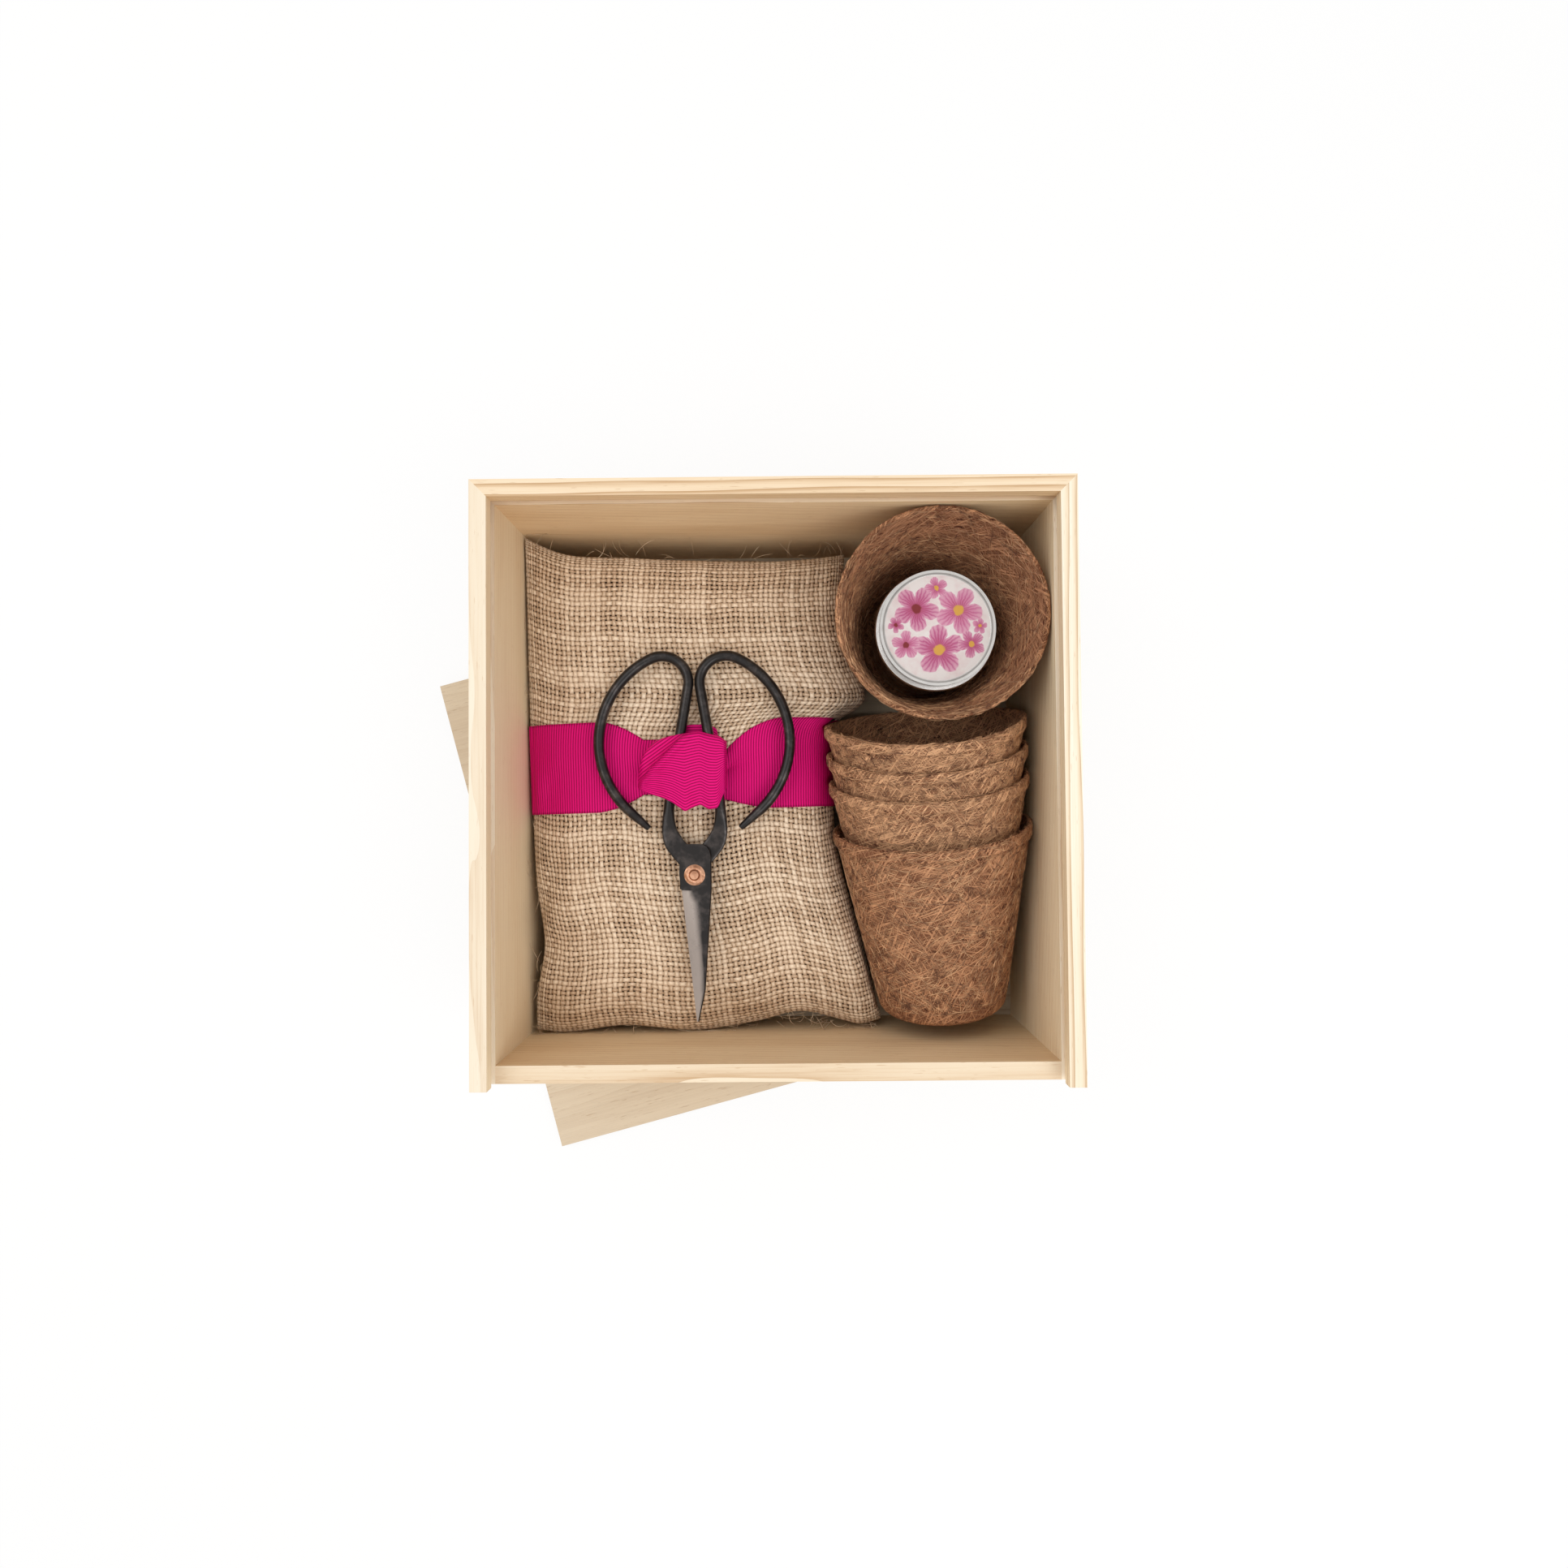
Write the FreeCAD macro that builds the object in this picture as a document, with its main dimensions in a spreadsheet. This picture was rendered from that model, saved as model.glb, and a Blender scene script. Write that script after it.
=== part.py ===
import FreeCAD, Part
import Sketcher
import math
import os

# A boxed flower growing kit: a pine box with its sliding lid laid underneath, a ribboned hessian
# bag with scissors tied on it, nested coir pots, a standing coir pot and a seed tin in that pot.
# Millimetres, +Z up, +X to the right and +Y to the back. The origin is the centre of the box's
# plan, on the surface that the kit stands on.

SIZES = [
    # box and lid
    ("box_width", 240.0), ("wall_thickness", 6.8), ("front_thickness", 7.2), ("floor_thickness", 4.0),
    ("inner_depth", 88.0), ("groove_height", 5.3), ("groove_depth", 3.0), ("lip_height", 6.1),
    ("rebate_depth", 3.0), ("panel_clearance", 0.2), ("lid_thickness", 5.0), ("lid_clearance", 0.3),
    ("lid_turn", 14.8), ("lid_shift_x", -26.0), ("lid_shift_y", -33.0),
    ("brad_diameter", 1.4), ("brad_length", 18.0), ("brad_low", 25.0), ("brad_high", 72.0),
    # coir pots, and the room that they take up along the box
    ("pot_rim_diameter", 88.5), ("pot_base_diameter", 57.0), ("pot_height", 85.0), ("pot_wall", 2.1),
    ("pot_base", 2.6), ("pot_band", 8.0), ("pot_step", 0.8), ("pot_round", 5.5), ("pot_inner_round", 1.5),
    ("pot_gap", 0.3), ("nest_gap", 0.15), ("loose_spacing", 21.5), ("stack_turn", 4.5),
    ("stack_room", 5.8), ("pots_gap", 4.0),
    # seed tin
    ("tin_diameter", 48.8), ("tin_height", 55.0), ("tin_wall", 0.5), ("tin_round", 1.5), ("tin_shift_x", 2.2),
    ("tin_shift_y", -1.4), ("tin_gap", 0.1), ("tin_lid_skirt", 9.0), ("tin_lid_fit", 0.15),
    ("tin_lid_wall", 0.75), ("tin_bead_reach", 1.5), ("tin_bead", 1.6), ("label_margin", 2.25),
    ("label_thickness", 0.2), ("label_recess", 0.35), ("seed_height", 8.0), ("seed_gap", 0.5),
    # bag and ribbon
    ("bag_height", 52.0), ("bag_gap", 0.3), ("bag_back_gap", 5.0), ("bag_pot_gap", 0.8), ("bag_wall", 1.4),
    ("fill_gap", 0.6), ("waist_margin", 6.0), ("waist_slope", 7.0),
    ("ribbon_width", 40.0), ("ribbon_thickness", 0.5), ("ribbon_gap", 0.15), ("ribbon_back", 10.6),
    ("knot_wall", 1.2), ("knot_slack", 8.8), ("knot_gap", 0.8), ("knot_near", 28.0), ("knot_length", 34.0),
    # scissors
    ("pivot_aside", 10.4), ("pivot_forward", 37.0), ("plate_thickness", 2.6), ("blade_gap", 0.1),
    ("blade_length", 63.5), ("blade_root", 6.6), ("spine_reach", 7.2), ("spine_inset", 0.5),
    ("blade_edge", 0.9), ("eye_reach", 6.6), ("eye_top", 11.0), ("neck_width", 7.0), ("bar_diameter", 4.6),
    ("bar_foot", 9.0), ("shank_low", 16.0), ("shank_high", 34.0), ("shank_bend", 14.0),
    ("shank_spread", 11.0), ("leg_gap", 0.3), ("leg_height", 83.5), ("loop_bend", 11.5), ("loop_radius", 40.5),
    ("loop_end_x", 27.8), ("loop_end_y", 27.6), ("tip_length", 11.0), ("tip_diameter", 2.8),
    ("rivet_diameter", 3.6), ("rivet_clearance", 0.04), ("rivet_flare", 0.7), ("rivet_head_height", 1.0),
    ("washer_diameter", 9.0), ("washer_thickness", 0.7),
]

doc = FreeCAD.newDocument("flower_box")
sheet = doc.addObject("Spreadsheet::Sheet", "Sizes")
for row, (alias, value) in enumerate(SIZES, start=1):
    sheet.set(f"A{row}", alias)
    sheet.set(f"B{row}", str(value))
    sheet.setAlias(f"B{row}", alias)
doc.recompute()


class Measure:
    """A length with its value and the expression over the sheet's cells that gives it."""

    def __init__(self, value, text):
        self.value = value
        self.text = text

    def combine(self, other, sign, value):
        return Measure(value, f"({self.text} {sign} {as_measure(other).text})")

    def __add__(self, other):
        return self.combine(other, "+", self.value + as_measure(other).value)

    def __sub__(self, other):
        return self.combine(other, "-", self.value - as_measure(other).value)

    def __mul__(self, other):
        return self.combine(other, "*", self.value * as_measure(other).value)

    def __truediv__(self, other):
        return self.combine(other, "/", self.value / as_measure(other).value)

    def __neg__(self):
        return Measure(-self.value, f"(0 - {self.text})")


def as_measure(number):
    if isinstance(number, Measure):
        return number
    return Measure(float(number), str(number))


def root(measure):
    """The square root of a measure."""
    return Measure(math.sqrt(measure.value), f"sqrt({measure.text})")


def cell(alias):
    """The measure held by one cell of the sheet."""
    return Measure(float(sheet.get(alias)), f"{sheet.Name}.{alias}")


def size(alias):
    """The plain number held by one cell of the sheet."""
    return float(sheet.get(alias))


ZERO = Measure(0.0, "0")
Z_AXIS = FreeCAD.Vector(0, 0, 1)
subparts = []


def keep(feature, label):
    """Mark a document object as a sub-part of the kit."""
    feature.Label = label
    subparts.append(feature)
    return feature


def new_body(name):
    return doc.addObject("PartDesign::Body", name)


def outline_sketch(body, role, name, points):
    """A closed outline of straight edges on one of a body's origin planes, each corner bound to the sheet."""
    plane = next(feature for feature in body.Origin.OriginFeatures if feature.Role == role)
    sketch = body.newObject("Sketcher::SketchObject", name)
    sketch.AttachmentSupport = (plane, [""])
    sketch.MapMode = "FlatFace"
    corners = [(as_measure(across), as_measure(up)) for across, up in points]
    count = len(corners)
    for index, start in enumerate(corners):
        end = corners[(index + 1) % count]
        first = FreeCAD.Vector(start[0].value, start[1].value, 0)
        second = FreeCAD.Vector(end[0].value, end[1].value, 0)
        sketch.addGeometry(Part.LineSegment(first, second), False)
    for index in range(count):
        sketch.addConstraint(Sketcher.Constraint("Coincident", index, 2, (index + 1) % count, 1))
    for index, corner in enumerate(corners):
        for kind, axis, measure in (("DistanceX", -2, corner[0]), ("DistanceY", -1, corner[1])):
            if measure is ZERO:
                sketch.addConstraint(Sketcher.Constraint("PointOnObject", index, 1, axis))
                continue
            place = sketch.addConstraint(Sketcher.Constraint(kind, -1, 1, index, 1, measure.value))
            sketch.setExpression(f"Constraints[{place}]", measure.text)
    return sketch


def pad_both_ways(body, sketch, name, length):
    pad = body.newObject("PartDesign::Pad", name)
    pad.Profile = sketch
    pad.SideType = "Symmetric"
    pad.setExpression("Length", length.text)
    return pad


def cut_both_ways(body, sketch, name, length):
    """Cut an outline out of a body, half the length to either side of its plane."""
    doc.recompute()
    before = body.Shape.Volume
    pocket = body.newObject("PartDesign::Pocket", name)
    pocket.Profile = sketch
    pocket.SideType = "Symmetric"
    pocket.setExpression("Length", length.text)
    doc.recompute()
    if body.Shape.Volume >= before:
        raise RuntimeError(f"{name} cuts nothing")
    return pocket


def turned_body(name, points):
    """A body turned about Z from a half outline in the XZ plane."""
    body = new_body(name)
    sketch = outline_sketch(body, "XZ_Plane", name + "_outline", points)
    turned = body.newObject("PartDesign::Revolution", name + "_turn")
    turned.Profile = sketch
    turned.ReferenceAxis = (sketch, ["V_Axis"])
    turned.Angle = 360.0
    doc.recompute()
    return body


def round_ring(body, name, radius, ring_radius, height):
    """Fillet the circular edge with the given radius at the given height."""
    base = body.Tip
    names = []
    for index, edge in enumerate(base.Shape.Edges, start=1):
        if not isinstance(edge.Curve, Part.Circle):
            continue
        same_radius = abs(edge.Curve.Radius - ring_radius.value) < 1e-4
        same_height = abs(edge.Curve.Center.z - height.value) < 1e-4
        if same_radius and same_height:
            names.append(f"Edge{index}")
    fillet = body.newObject("PartDesign::Fillet", name)
    fillet.Base = (base, names)
    fillet.setExpression("Radius", radius.text)
    doc.recompute()
    return fillet


def set_shape(name, label, shape, placement=None):
    """A sub-part whose form comes straight from its sizes."""
    feature = doc.addObject("Part::Feature", name)
    feature.Shape = shape
    feature.Placement = placement or FreeCAD.Placement()
    return keep(feature, label)


def flat(across, along):
    return FreeCAD.Vector(across, along, 0)


def closed_face(points):
    return Part.Face(Part.makePolygon(points + points[:1]))


# Pots: their taper, how they nest and how they lean when they lie on their side
rim_radius = cell("pot_rim_diameter") / 2
base_radius = cell("pot_base_diameter") / 2
pot_height = cell("pot_height")
wall_top = rim_radius - cell("pot_step")
pot_slope = (wall_top - base_radius) / pot_height
taper_slant = root(pot_slope * pot_slope + 1)
wall_across = cell("pot_wall") / taper_slant
nest_spacing = (wall_across + cell("nest_gap")) * taper_slant / pot_slope
pot_spread = rim_radius - base_radius
lean_slant = root(pot_height * pot_height + pot_spread * pot_spread)
lean_sin = pot_spread / lean_slant
lean_cos = pot_height / lean_slant
stack_run = pot_height + cell("loose_spacing") + nest_spacing * 2

# Box: as long inside as the lying stack and the standing pot behind it
stack_length = (base_radius + rim_radius) * lean_sin + stack_run * lean_cos
inner_length = (cell("stack_room") + stack_length + cell("pots_gap")
                + base_radius + rim_radius + cell("pot_gap"))
wall = cell("wall_thickness")
half_width = cell("box_width") / 2
half_length = (inner_length + wall + cell("front_thickness")) / 2
base_level = cell("lid_thickness")
floor_level = base_level + cell("floor_thickness")
ledge_level = floor_level + cell("inner_depth")
lip_level = ledge_level + cell("groove_height")
top_level = lip_level + cell("lip_height")
inner_x = half_width - wall
inner_back = half_length - wall
inner_front = half_length - cell("front_thickness")
rebate_x = inner_x + cell("rebate_depth")
rebate_back = inner_back + cell("rebate_depth")
rebate_front = inner_front + cell("rebate_depth")


def grooved_outline(inner, outer, side):
    """Section of a grooved wall between two distances from the middle, to the given side."""
    groove = inner + cell("groove_depth")
    section = [(outer, base_level), (outer, top_level), (inner, top_level), (inner, lip_level),
               (groove, lip_level), (groove, ledge_level), (inner, ledge_level), (inner, base_level)]
    return [(across * side, up) for across, up in section]


def floor_rebate(body, label):
    """Cut the floor's seat out of a wall, from its underside to the floor's top."""
    seat = outline_sketch(body, "XY_Plane", label + "_seat", [
        (-rebate_x, -rebate_front), (rebate_x, -rebate_front),
        (rebate_x, rebate_back), (-rebate_x, rebate_back)])
    cut_both_ways(body, seat, label + "_seat_cut", floor_level * 2)


# Brads, two through each end of both side walls
brads = []
front_row = -(half_length - cell("front_thickness") / 2)
back_row = half_length - wall / 2
for side in (-1, 1):
    for row_name, row_y in (("front", front_row), ("back", back_row)):
        for level in ("brad_low", "brad_high"):
            brad = doc.addObject("Part::Cylinder", f"{row_name}_{level}")
            brad.setExpression("Radius", (cell("brad_diameter") / 2).text)
            brad.setExpression("Height", cell("brad_length").text)
            brad.Placement.Rotation = FreeCAD.Rotation(FreeCAD.Vector(0, 1, 0), -90 * side)
            brad.setExpression("Placement.Base.x", (half_width * side).text)
            brad.setExpression("Placement.Base.y", row_y.text)
            brad.setExpression("Placement.Base.z", (base_level + cell(level)).text)
            brads.append(brad)
brad_set = doc.addObject("Part::Compound", "brad_set")
brad_set.Links = brads
keep(brad_set, "corner_brads")


def drilled(body, label):
    """A wall with the holes that its brads fill."""
    holes = doc.addObject("Part::Cut", label + "_drilled")
    holes.Base = body
    holes.Tool = brad_set
    return keep(holes, label)


# Side walls, mitred at the back
for side, label in ((-1, "left_wall"), (1, "right_wall")):
    side_wall = new_body(label + "_board")
    grooved = grooved_outline(inner_x, half_width, side)
    section = outline_sketch(side_wall, "XZ_Plane", label + "_section", grooved)
    pad_both_ways(side_wall, section, label + "_length", half_length * 2)
    floor_rebate(side_wall, label)
    mitre = outline_sketch(side_wall, "XY_Plane", label + "_mitre", [
        (half_width * side, half_length), (inner_x * side, half_length), (inner_x * side, inner_back)])
    cut_both_ways(side_wall, mitre, label + "_mitre_cut", top_level * 3)
    drilled(side_wall, label)

# Back wall, mitred at both ends
back_wall = new_body("back_wall_board")
grooved = grooved_outline(inner_back, half_length, 1)
section = outline_sketch(back_wall, "YZ_Plane", "back_wall_section", grooved)
pad_both_ways(back_wall, section, "back_wall_length", half_width * 2)
floor_rebate(back_wall, "back_wall")
for side, end in ((-1, "left"), (1, "right")):
    mitre = outline_sketch(back_wall, "XY_Plane", f"back_wall_mitre_{end}", [
        (half_width * side, half_length), (half_width * side, inner_back), (inner_x * side, inner_back)])
    cut_both_ways(back_wall, mitre, f"back_wall_mitre_cut_{end}", top_level * 3)
drilled(back_wall, "back_wall")

# Front wall, set between the side walls and level with the groove's ledge
front_wall = new_body("front_wall_board")
section = outline_sketch(front_wall, "YZ_Plane", "front_wall_section", [
    (-half_length, base_level), (-half_length, ledge_level),
    (-inner_front, ledge_level), (-inner_front, base_level)])
pad_both_ways(front_wall, section, "front_wall_length", inner_x * 2)
floor_rebate(front_wall, "front_wall")
drilled(front_wall, "front_wall")

# Floor panel, let into the rebates of all four walls
floor_panel = new_body("floor_board")
slip = cell("panel_clearance")
section = outline_sketch(floor_panel, "YZ_Plane", "floor_section", [
    (slip - rebate_front, base_level), (slip - rebate_front, floor_level),
    (rebate_back - slip, floor_level), (rebate_back - slip, base_level)])
pad_both_ways(floor_panel, section, "floor_width", (rebate_x - slip) * 2)
keep(floor_panel, "floor_panel")

# Sliding lid, sized for the groove and laid turned under the box
lid = new_body("lid_board")
lid_half_width = inner_x + cell("groove_depth") - cell("lid_clearance")
lid_length = half_length + inner_back + cell("groove_depth") - cell("lid_clearance")
section = outline_sketch(lid, "XZ_Plane", "lid_section", [
    (-lid_half_width, ZERO), (lid_half_width, ZERO),
    (lid_half_width, cell("lid_thickness")), (-lid_half_width, cell("lid_thickness"))])
pad_both_ways(lid, section, "lid_length", lid_length)
lid.Placement = FreeCAD.Placement(
    flat(size("lid_shift_x"), size("lid_shift_y")), FreeCAD.Rotation(Z_AXIS, size("lid_turn")))
keep(lid, "sliding_lid")

# Pots: one standing in the back right corner, four nested and lying in front of it
band_level = pot_height - cell("pot_band")
band_radius = base_radius + pot_slope * band_level
inner_foot = base_radius + pot_slope * cell("pot_base") - cell("pot_wall")


def coir_pot(label, placement):
    """A tapered pot with a banded rim, standing on its own base before it is placed."""
    body = turned_body(label + "_shell", [
        (ZERO, ZERO), (base_radius, ZERO), (band_radius, band_level),
        (band_radius + cell("pot_step"), band_level), (rim_radius, pot_height),
        (wall_top - cell("pot_wall"), pot_height), (inner_foot, cell("pot_base")), (ZERO, cell("pot_base"))])
    round_ring(body, label + "_round", cell("pot_round"), base_radius, ZERO)
    round_ring(body, label + "_inner_round", cell("pot_inner_round"), inner_foot, cell("pot_base"))
    body.Placement = placement
    return keep(body, label)


pot_foot = FreeCAD.Vector(
    inner_x.value - rim_radius.value - size("pot_gap"),
    inner_back.value - rim_radius.value - size("pot_gap"),
    floor_level.value)
coir_pot("standing_pot", FreeCAD.Placement(pot_foot, FreeCAD.Rotation()))

turn = math.radians(size("stack_turn"))
mouthward = FreeCAD.Vector(-math.sin(turn) * lean_cos.value, math.cos(turn) * lean_cos.value, lean_sin.value)
upward = FreeCAD.Vector(math.sin(turn) * lean_sin.value, -math.cos(turn) * lean_sin.value, lean_cos.value)
loose_slack = size("loose_spacing") * pot_slope.value / taper_slant.value - wall_across.value
loose_drop = (loose_slack - size("nest_gap")) * taper_slant.value
outer_length = base_radius.value * lean_sin.value + pot_height.value * lean_cos.value
outer_mouth = FreeCAD.Vector(
    inner_x.value - size("pot_gap") - rim_radius.value * math.cos(turn),
    size("stack_room") - inner_front.value + outer_length,
    floor_level.value + size("pot_gap") + rim_radius.value * lean_cos.value)
lean_angle = math.degrees(math.asin(lean_sin.value))
lying = (FreeCAD.Rotation(Z_AXIS, size("stack_turn"))
         * FreeCAD.Rotation(FreeCAD.Vector(1, 0, 0), lean_angle - 90))
mouths = [outer_mouth]
for number in range(3):
    drawn_out = size("loose_spacing") + number * nest_spacing.value
    mouths.append(outer_mouth + mouthward * drawn_out - upward * loose_drop)
for number, mouth in enumerate(mouths, start=1):
    coir_pot(f"nested_pot_{number}", FreeCAD.Placement(mouth - mouthward * pot_height.value, lying))

# Seed tin, standing in the standing pot and a little to its right
tin_radius = cell("tin_diameter") / 2
tin_inside = tin_radius - cell("tin_wall")
tin_top = cell("tin_height")
skirt_inside = tin_radius + cell("tin_lid_fit")
lid_radius = skirt_inside + cell("tin_lid_wall")
label_radius = lid_radius - cell("label_margin")
recess_level = tin_top - cell("label_recess")
underside = recess_level - cell("tin_wall")
can_top = underside - cell("tin_lid_fit")
tin_shift = flat(size("tin_shift_x"), size("tin_shift_y"))
tin_reach = tin_radius.value + tin_shift.Length + size("tin_gap") + size("pot_wall")
wedge_height = (tin_reach - base_radius.value) / pot_slope.value - size("tin_round")
tin_foot = Z_AXIS * max(wedge_height, size("pot_base"))
tin_place = FreeCAD.Placement(pot_foot + tin_shift + tin_foot, FreeCAD.Rotation())


def tin_piece(name, label, points):
    """A turned piece of the tin, set where the tin stands."""
    body = turned_body(name, points)
    body.Placement = tin_place
    return keep(body, label)


can = tin_piece("can", "tin_can", [
    (ZERO, ZERO), (tin_radius, ZERO), (tin_radius, can_top), (tin_inside, can_top),
    (tin_inside, cell("tin_wall")), (ZERO, cell("tin_wall"))])
can.Placement = FreeCAD.Placement()
doc.recompute()
round_ring(can, "can_round", cell("tin_round"), tin_radius, ZERO)
can.Placement = tin_place

skirt_low = tin_top - cell("tin_lid_skirt")
bead = cell("tin_bead")
bead_radius = lid_radius + cell("tin_bead_reach")
bead_round = cell("tin_bead_reach") / 3
recess_radius = label_radius + cell("tin_lid_fit")
tin_piece("cover", "tin_lid", [
    (ZERO, underside), (skirt_inside, underside), (skirt_inside, skirt_low),
    (bead_radius - bead_round, skirt_low), (bead_radius, skirt_low + bead / 3),
    (bead_radius, skirt_low + bead * 2 / 3), (bead_radius - bead_round, skirt_low + bead),
    (lid_radius, skirt_low + bead), (lid_radius, tin_top), (recess_radius, tin_top),
    (recess_radius, recess_level), (ZERO, recess_level)])

label_top = recess_level + cell("label_thickness")
tin_piece("disc", "tin_label", [
    (ZERO, recess_level), (label_radius, recess_level), (label_radius, label_top), (ZERO, label_top)])

seed_radius = tin_inside - cell("seed_gap")
seed_level = cell("tin_wall")
seed_height = cell("seed_height")
tin_piece("heap", "flower_seeds", [
    (ZERO, seed_level), (seed_radius, seed_level), (seed_radius, seed_level + seed_height / 2),
    (seed_radius / 2, seed_level + seed_height * 0.9), (ZERO, seed_level + seed_height)])

# Bag: a filled pillow with room for the pots on its right, as levels that each take a share of its plan
BAG_LEVELS = (
    (0.0, 0.93), (0.12, 0.985), (0.38, 1.0), (0.66, 0.995), (0.85, 0.965), (0.95, 0.90), (1.0, 0.78))
ribbon_build = size("ribbon_thickness") + 2 * size("ribbon_gap")
bag_bottom = floor_level.value + ribbon_build
bag_top = bag_bottom + size("bag_height")
bag_left = ribbon_build + size("bag_gap") - inner_x.value
bag_front = size("bag_gap") - inner_front.value
bag_back = inner_back.value - size("bag_back_gap")
waist_x = min(mouth.x for mouth in mouths) - rim_radius.value - size("bag_pot_gap")
waist_front = mouths[0].y - size("waist_margin")
waist_back = mouths[-1].y + rim_radius.value * lean_sin.value + size("waist_margin")
stack_base = mouths[0] - mouthward * pot_height.value
front_x = stack_base.x - base_radius.value - size("bag_pot_gap")
pot_girth = base_radius.value + pot_slope.value * size("bag_height")
rear_x = max(waist_x, pot_foot.x - pot_girth - size("bag_pot_gap"))
bag_plan = [
    (bag_left, bag_front), (front_x, bag_front), (front_x, stack_base.y), (waist_x, waist_front),
    (waist_x, waist_back), (rear_x, waist_back + size("waist_slope")),
    (rear_x, bag_back), (bag_left, bag_back)]
bag_middle = flat((bag_left + waist_x) / 2, (bag_front + bag_back) / 2)
reach_x = bag_middle.x - bag_left
reach_y = bag_middle.y - bag_front


def bag_section(share, inset, level):
    """Plan of the bag at one level, drawn in by the inset."""
    scale_x = share * (1 - inset / reach_x)
    scale_y = share * (1 - inset / reach_y)
    corners = []
    for across, along in bag_plan:
        x = bag_middle.x + (across - bag_middle.x) * scale_x
        y = bag_middle.y + (along - bag_middle.y) * scale_y
        corners.append(FreeCAD.Vector(x, y, level))
    return Part.makePolygon(corners + corners[:1])


def bag_form(inset):
    """The pillow, drawn in all round by the inset."""
    low = bag_bottom + inset
    height = size("bag_height") - 2 * inset
    sections = [bag_section(share, inset, low + part_height * height) for part_height, share in BAG_LEVELS]
    return Part.makeLoft(sections, True, True)


set_shape("bag_cloth", "hessian_bag", bag_form(0.0).cut(bag_form(size("bag_wall"))))
set_shape("bag_fill", "compost_fill", bag_form(size("bag_wall") + size("fill_gap")))

# Ribbon band round the bag's waist
girth = []
for side, levels in ((-1, BAG_LEVELS), (1, reversed(BAG_LEVELS))):
    for part_height, share in levels:
        across = bag_middle.x + side * reach_x * share
        girth.append(FreeCAD.Vector(across, 0, bag_bottom + part_height * size("bag_height")))
girth_face = closed_face(girth)
band_inside = girth_face.makeOffset2D(size("ribbon_gap"), 2)
band_outside = girth_face.makeOffset2D(size("ribbon_gap") + size("ribbon_thickness"), 2)
band_ring = band_outside.cut(band_inside)
band = band_ring.extrude(FreeCAD.Vector(0, size("ribbon_width"), 0))
band_start = bag_middle.y + size("ribbon_back") - size("ribbon_width") / 2
set_shape("band", "ribbon_band", band, FreeCAD.Placement(flat(0, band_start), FreeCAD.Rotation()))

# Scissors: the level where the two halves meet; plan points have the pivot at zero and the loops at +Y
plate = size("plate_thickness")
half_gap = size("blade_gap") / 2
bar_radius = size("bar_diameter") / 2
washer = size("washer_thickness")
head_height = size("rivet_head_height")
shear_level = bag_top + size("bag_gap") + head_height + washer + plate + half_gap
pivot_place = FreeCAD.Placement(
    FreeCAD.Vector(bag_middle.x + size("pivot_aside"), bag_middle.y - size("pivot_forward"), shear_level),
    FreeCAD.Rotation())
pivot = pivot_place.Base
shank_low = flat(size("shank_spread"), size("shank_low"))
shank_high = flat(size("shank_spread"), size("shank_high"))
bend_centre = flat(bar_radius + size("leg_gap") / 2 + size("loop_bend"), size("leg_height"))
neck_start = flat(size("eye_reach") / 3, size("eye_top") / 3)
neck_way = (shank_low - neck_start).normalize()
bar_foot = neck_start + neck_way * size("bar_foot")


def circle_meeting(centre_a, radius_a, centre_b, radius_b):
    """The left one of the two points where two circles in plan meet."""
    gap = centre_b - centre_a
    along = (radius_a ** 2 - radius_b ** 2 + gap.Length ** 2) / (2 * gap.Length)
    aside = math.sqrt(radius_a ** 2 - along ** 2)
    way = FreeCAD.Vector(gap).normalize()
    normal = flat(-way.y, way.x)
    points = [centre_a + way * along + normal * (aside * sign) for sign in (-1, 1)]
    return min(points, key=lambda point: point.x)


def arc_between(centre, start, end):
    """An arc from start to end that bulges away from its centre."""
    middle = (start + end) * 0.5 - centre
    middle.normalize()
    return Part.Arc(start, centre + middle * (start - centre).Length, end).toShape()


def bent(points, radius):
    """Edges of a bent bar: straight runs joined by tangent arcs of one radius."""
    edges = []
    start = points[0]
    for before, corner, after in zip(points, points[1:], points[2:]):
        inward = (before - corner).normalize()
        outward = (after - corner).normalize()
        half_turn = (math.pi - inward.getAngle(outward)) / 2
        trim = radius * math.tan(half_turn)
        first = corner + inward * trim
        last = corner + outward * trim
        centre = corner + (inward + outward).normalize() * (radius / math.cos(half_turn))
        edges.append(Part.LineSegment(start, first).toShape())
        edges.append(arc_between(centre, first, last))
        start = last
    edges.append(Part.LineSegment(start, points[-1]).toShape())
    return edges


def handle_loop():
    """The right-hand wire loop: shank, inner leg, top bend, outer bow and tapered end."""
    to_bend = bend_centre - shank_high
    tangent_run = math.sqrt(to_bend.Length ** 2 - size("loop_bend") ** 2)
    leg_top = circle_meeting(shank_high, tangent_run, bend_centre, size("loop_bend"))
    edges = bent([bar_foot, shank_low, shank_high, leg_top], size("shank_bend"))
    bow_end = flat(size("loop_end_x"), size("loop_end_y"))
    bow_radius = size("loop_radius")
    bow_centre = circle_meeting(bend_centre, bow_radius - size("loop_bend"), bow_end, bow_radius)
    bend_end = bow_centre + (bend_centre - bow_centre).normalize() * bow_radius
    edges.append(arc_between(bend_centre, leg_top, bend_end))
    edges.append(arc_between(bow_centre, bend_end, bow_end))
    ring = Part.Wire(Part.makeCircle(bar_radius, bar_foot, neck_way))
    bar = Part.Wire(edges).makePipeShell([ring], True, True)
    radial = bow_end - bow_centre
    heading = flat(radial.y, -radial.x).normalize()
    tip_radius = size("tip_diameter") / 2
    taper = Part.makeCone(bar_radius, tip_radius, size("tip_length"), bow_end, heading)
    tip = Part.makeSphere(tip_radius, bow_end + heading * size("tip_length"))
    return bar.fuse([taper, tip, Part.makeSphere(bar_radius, bar_foot)])


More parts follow.
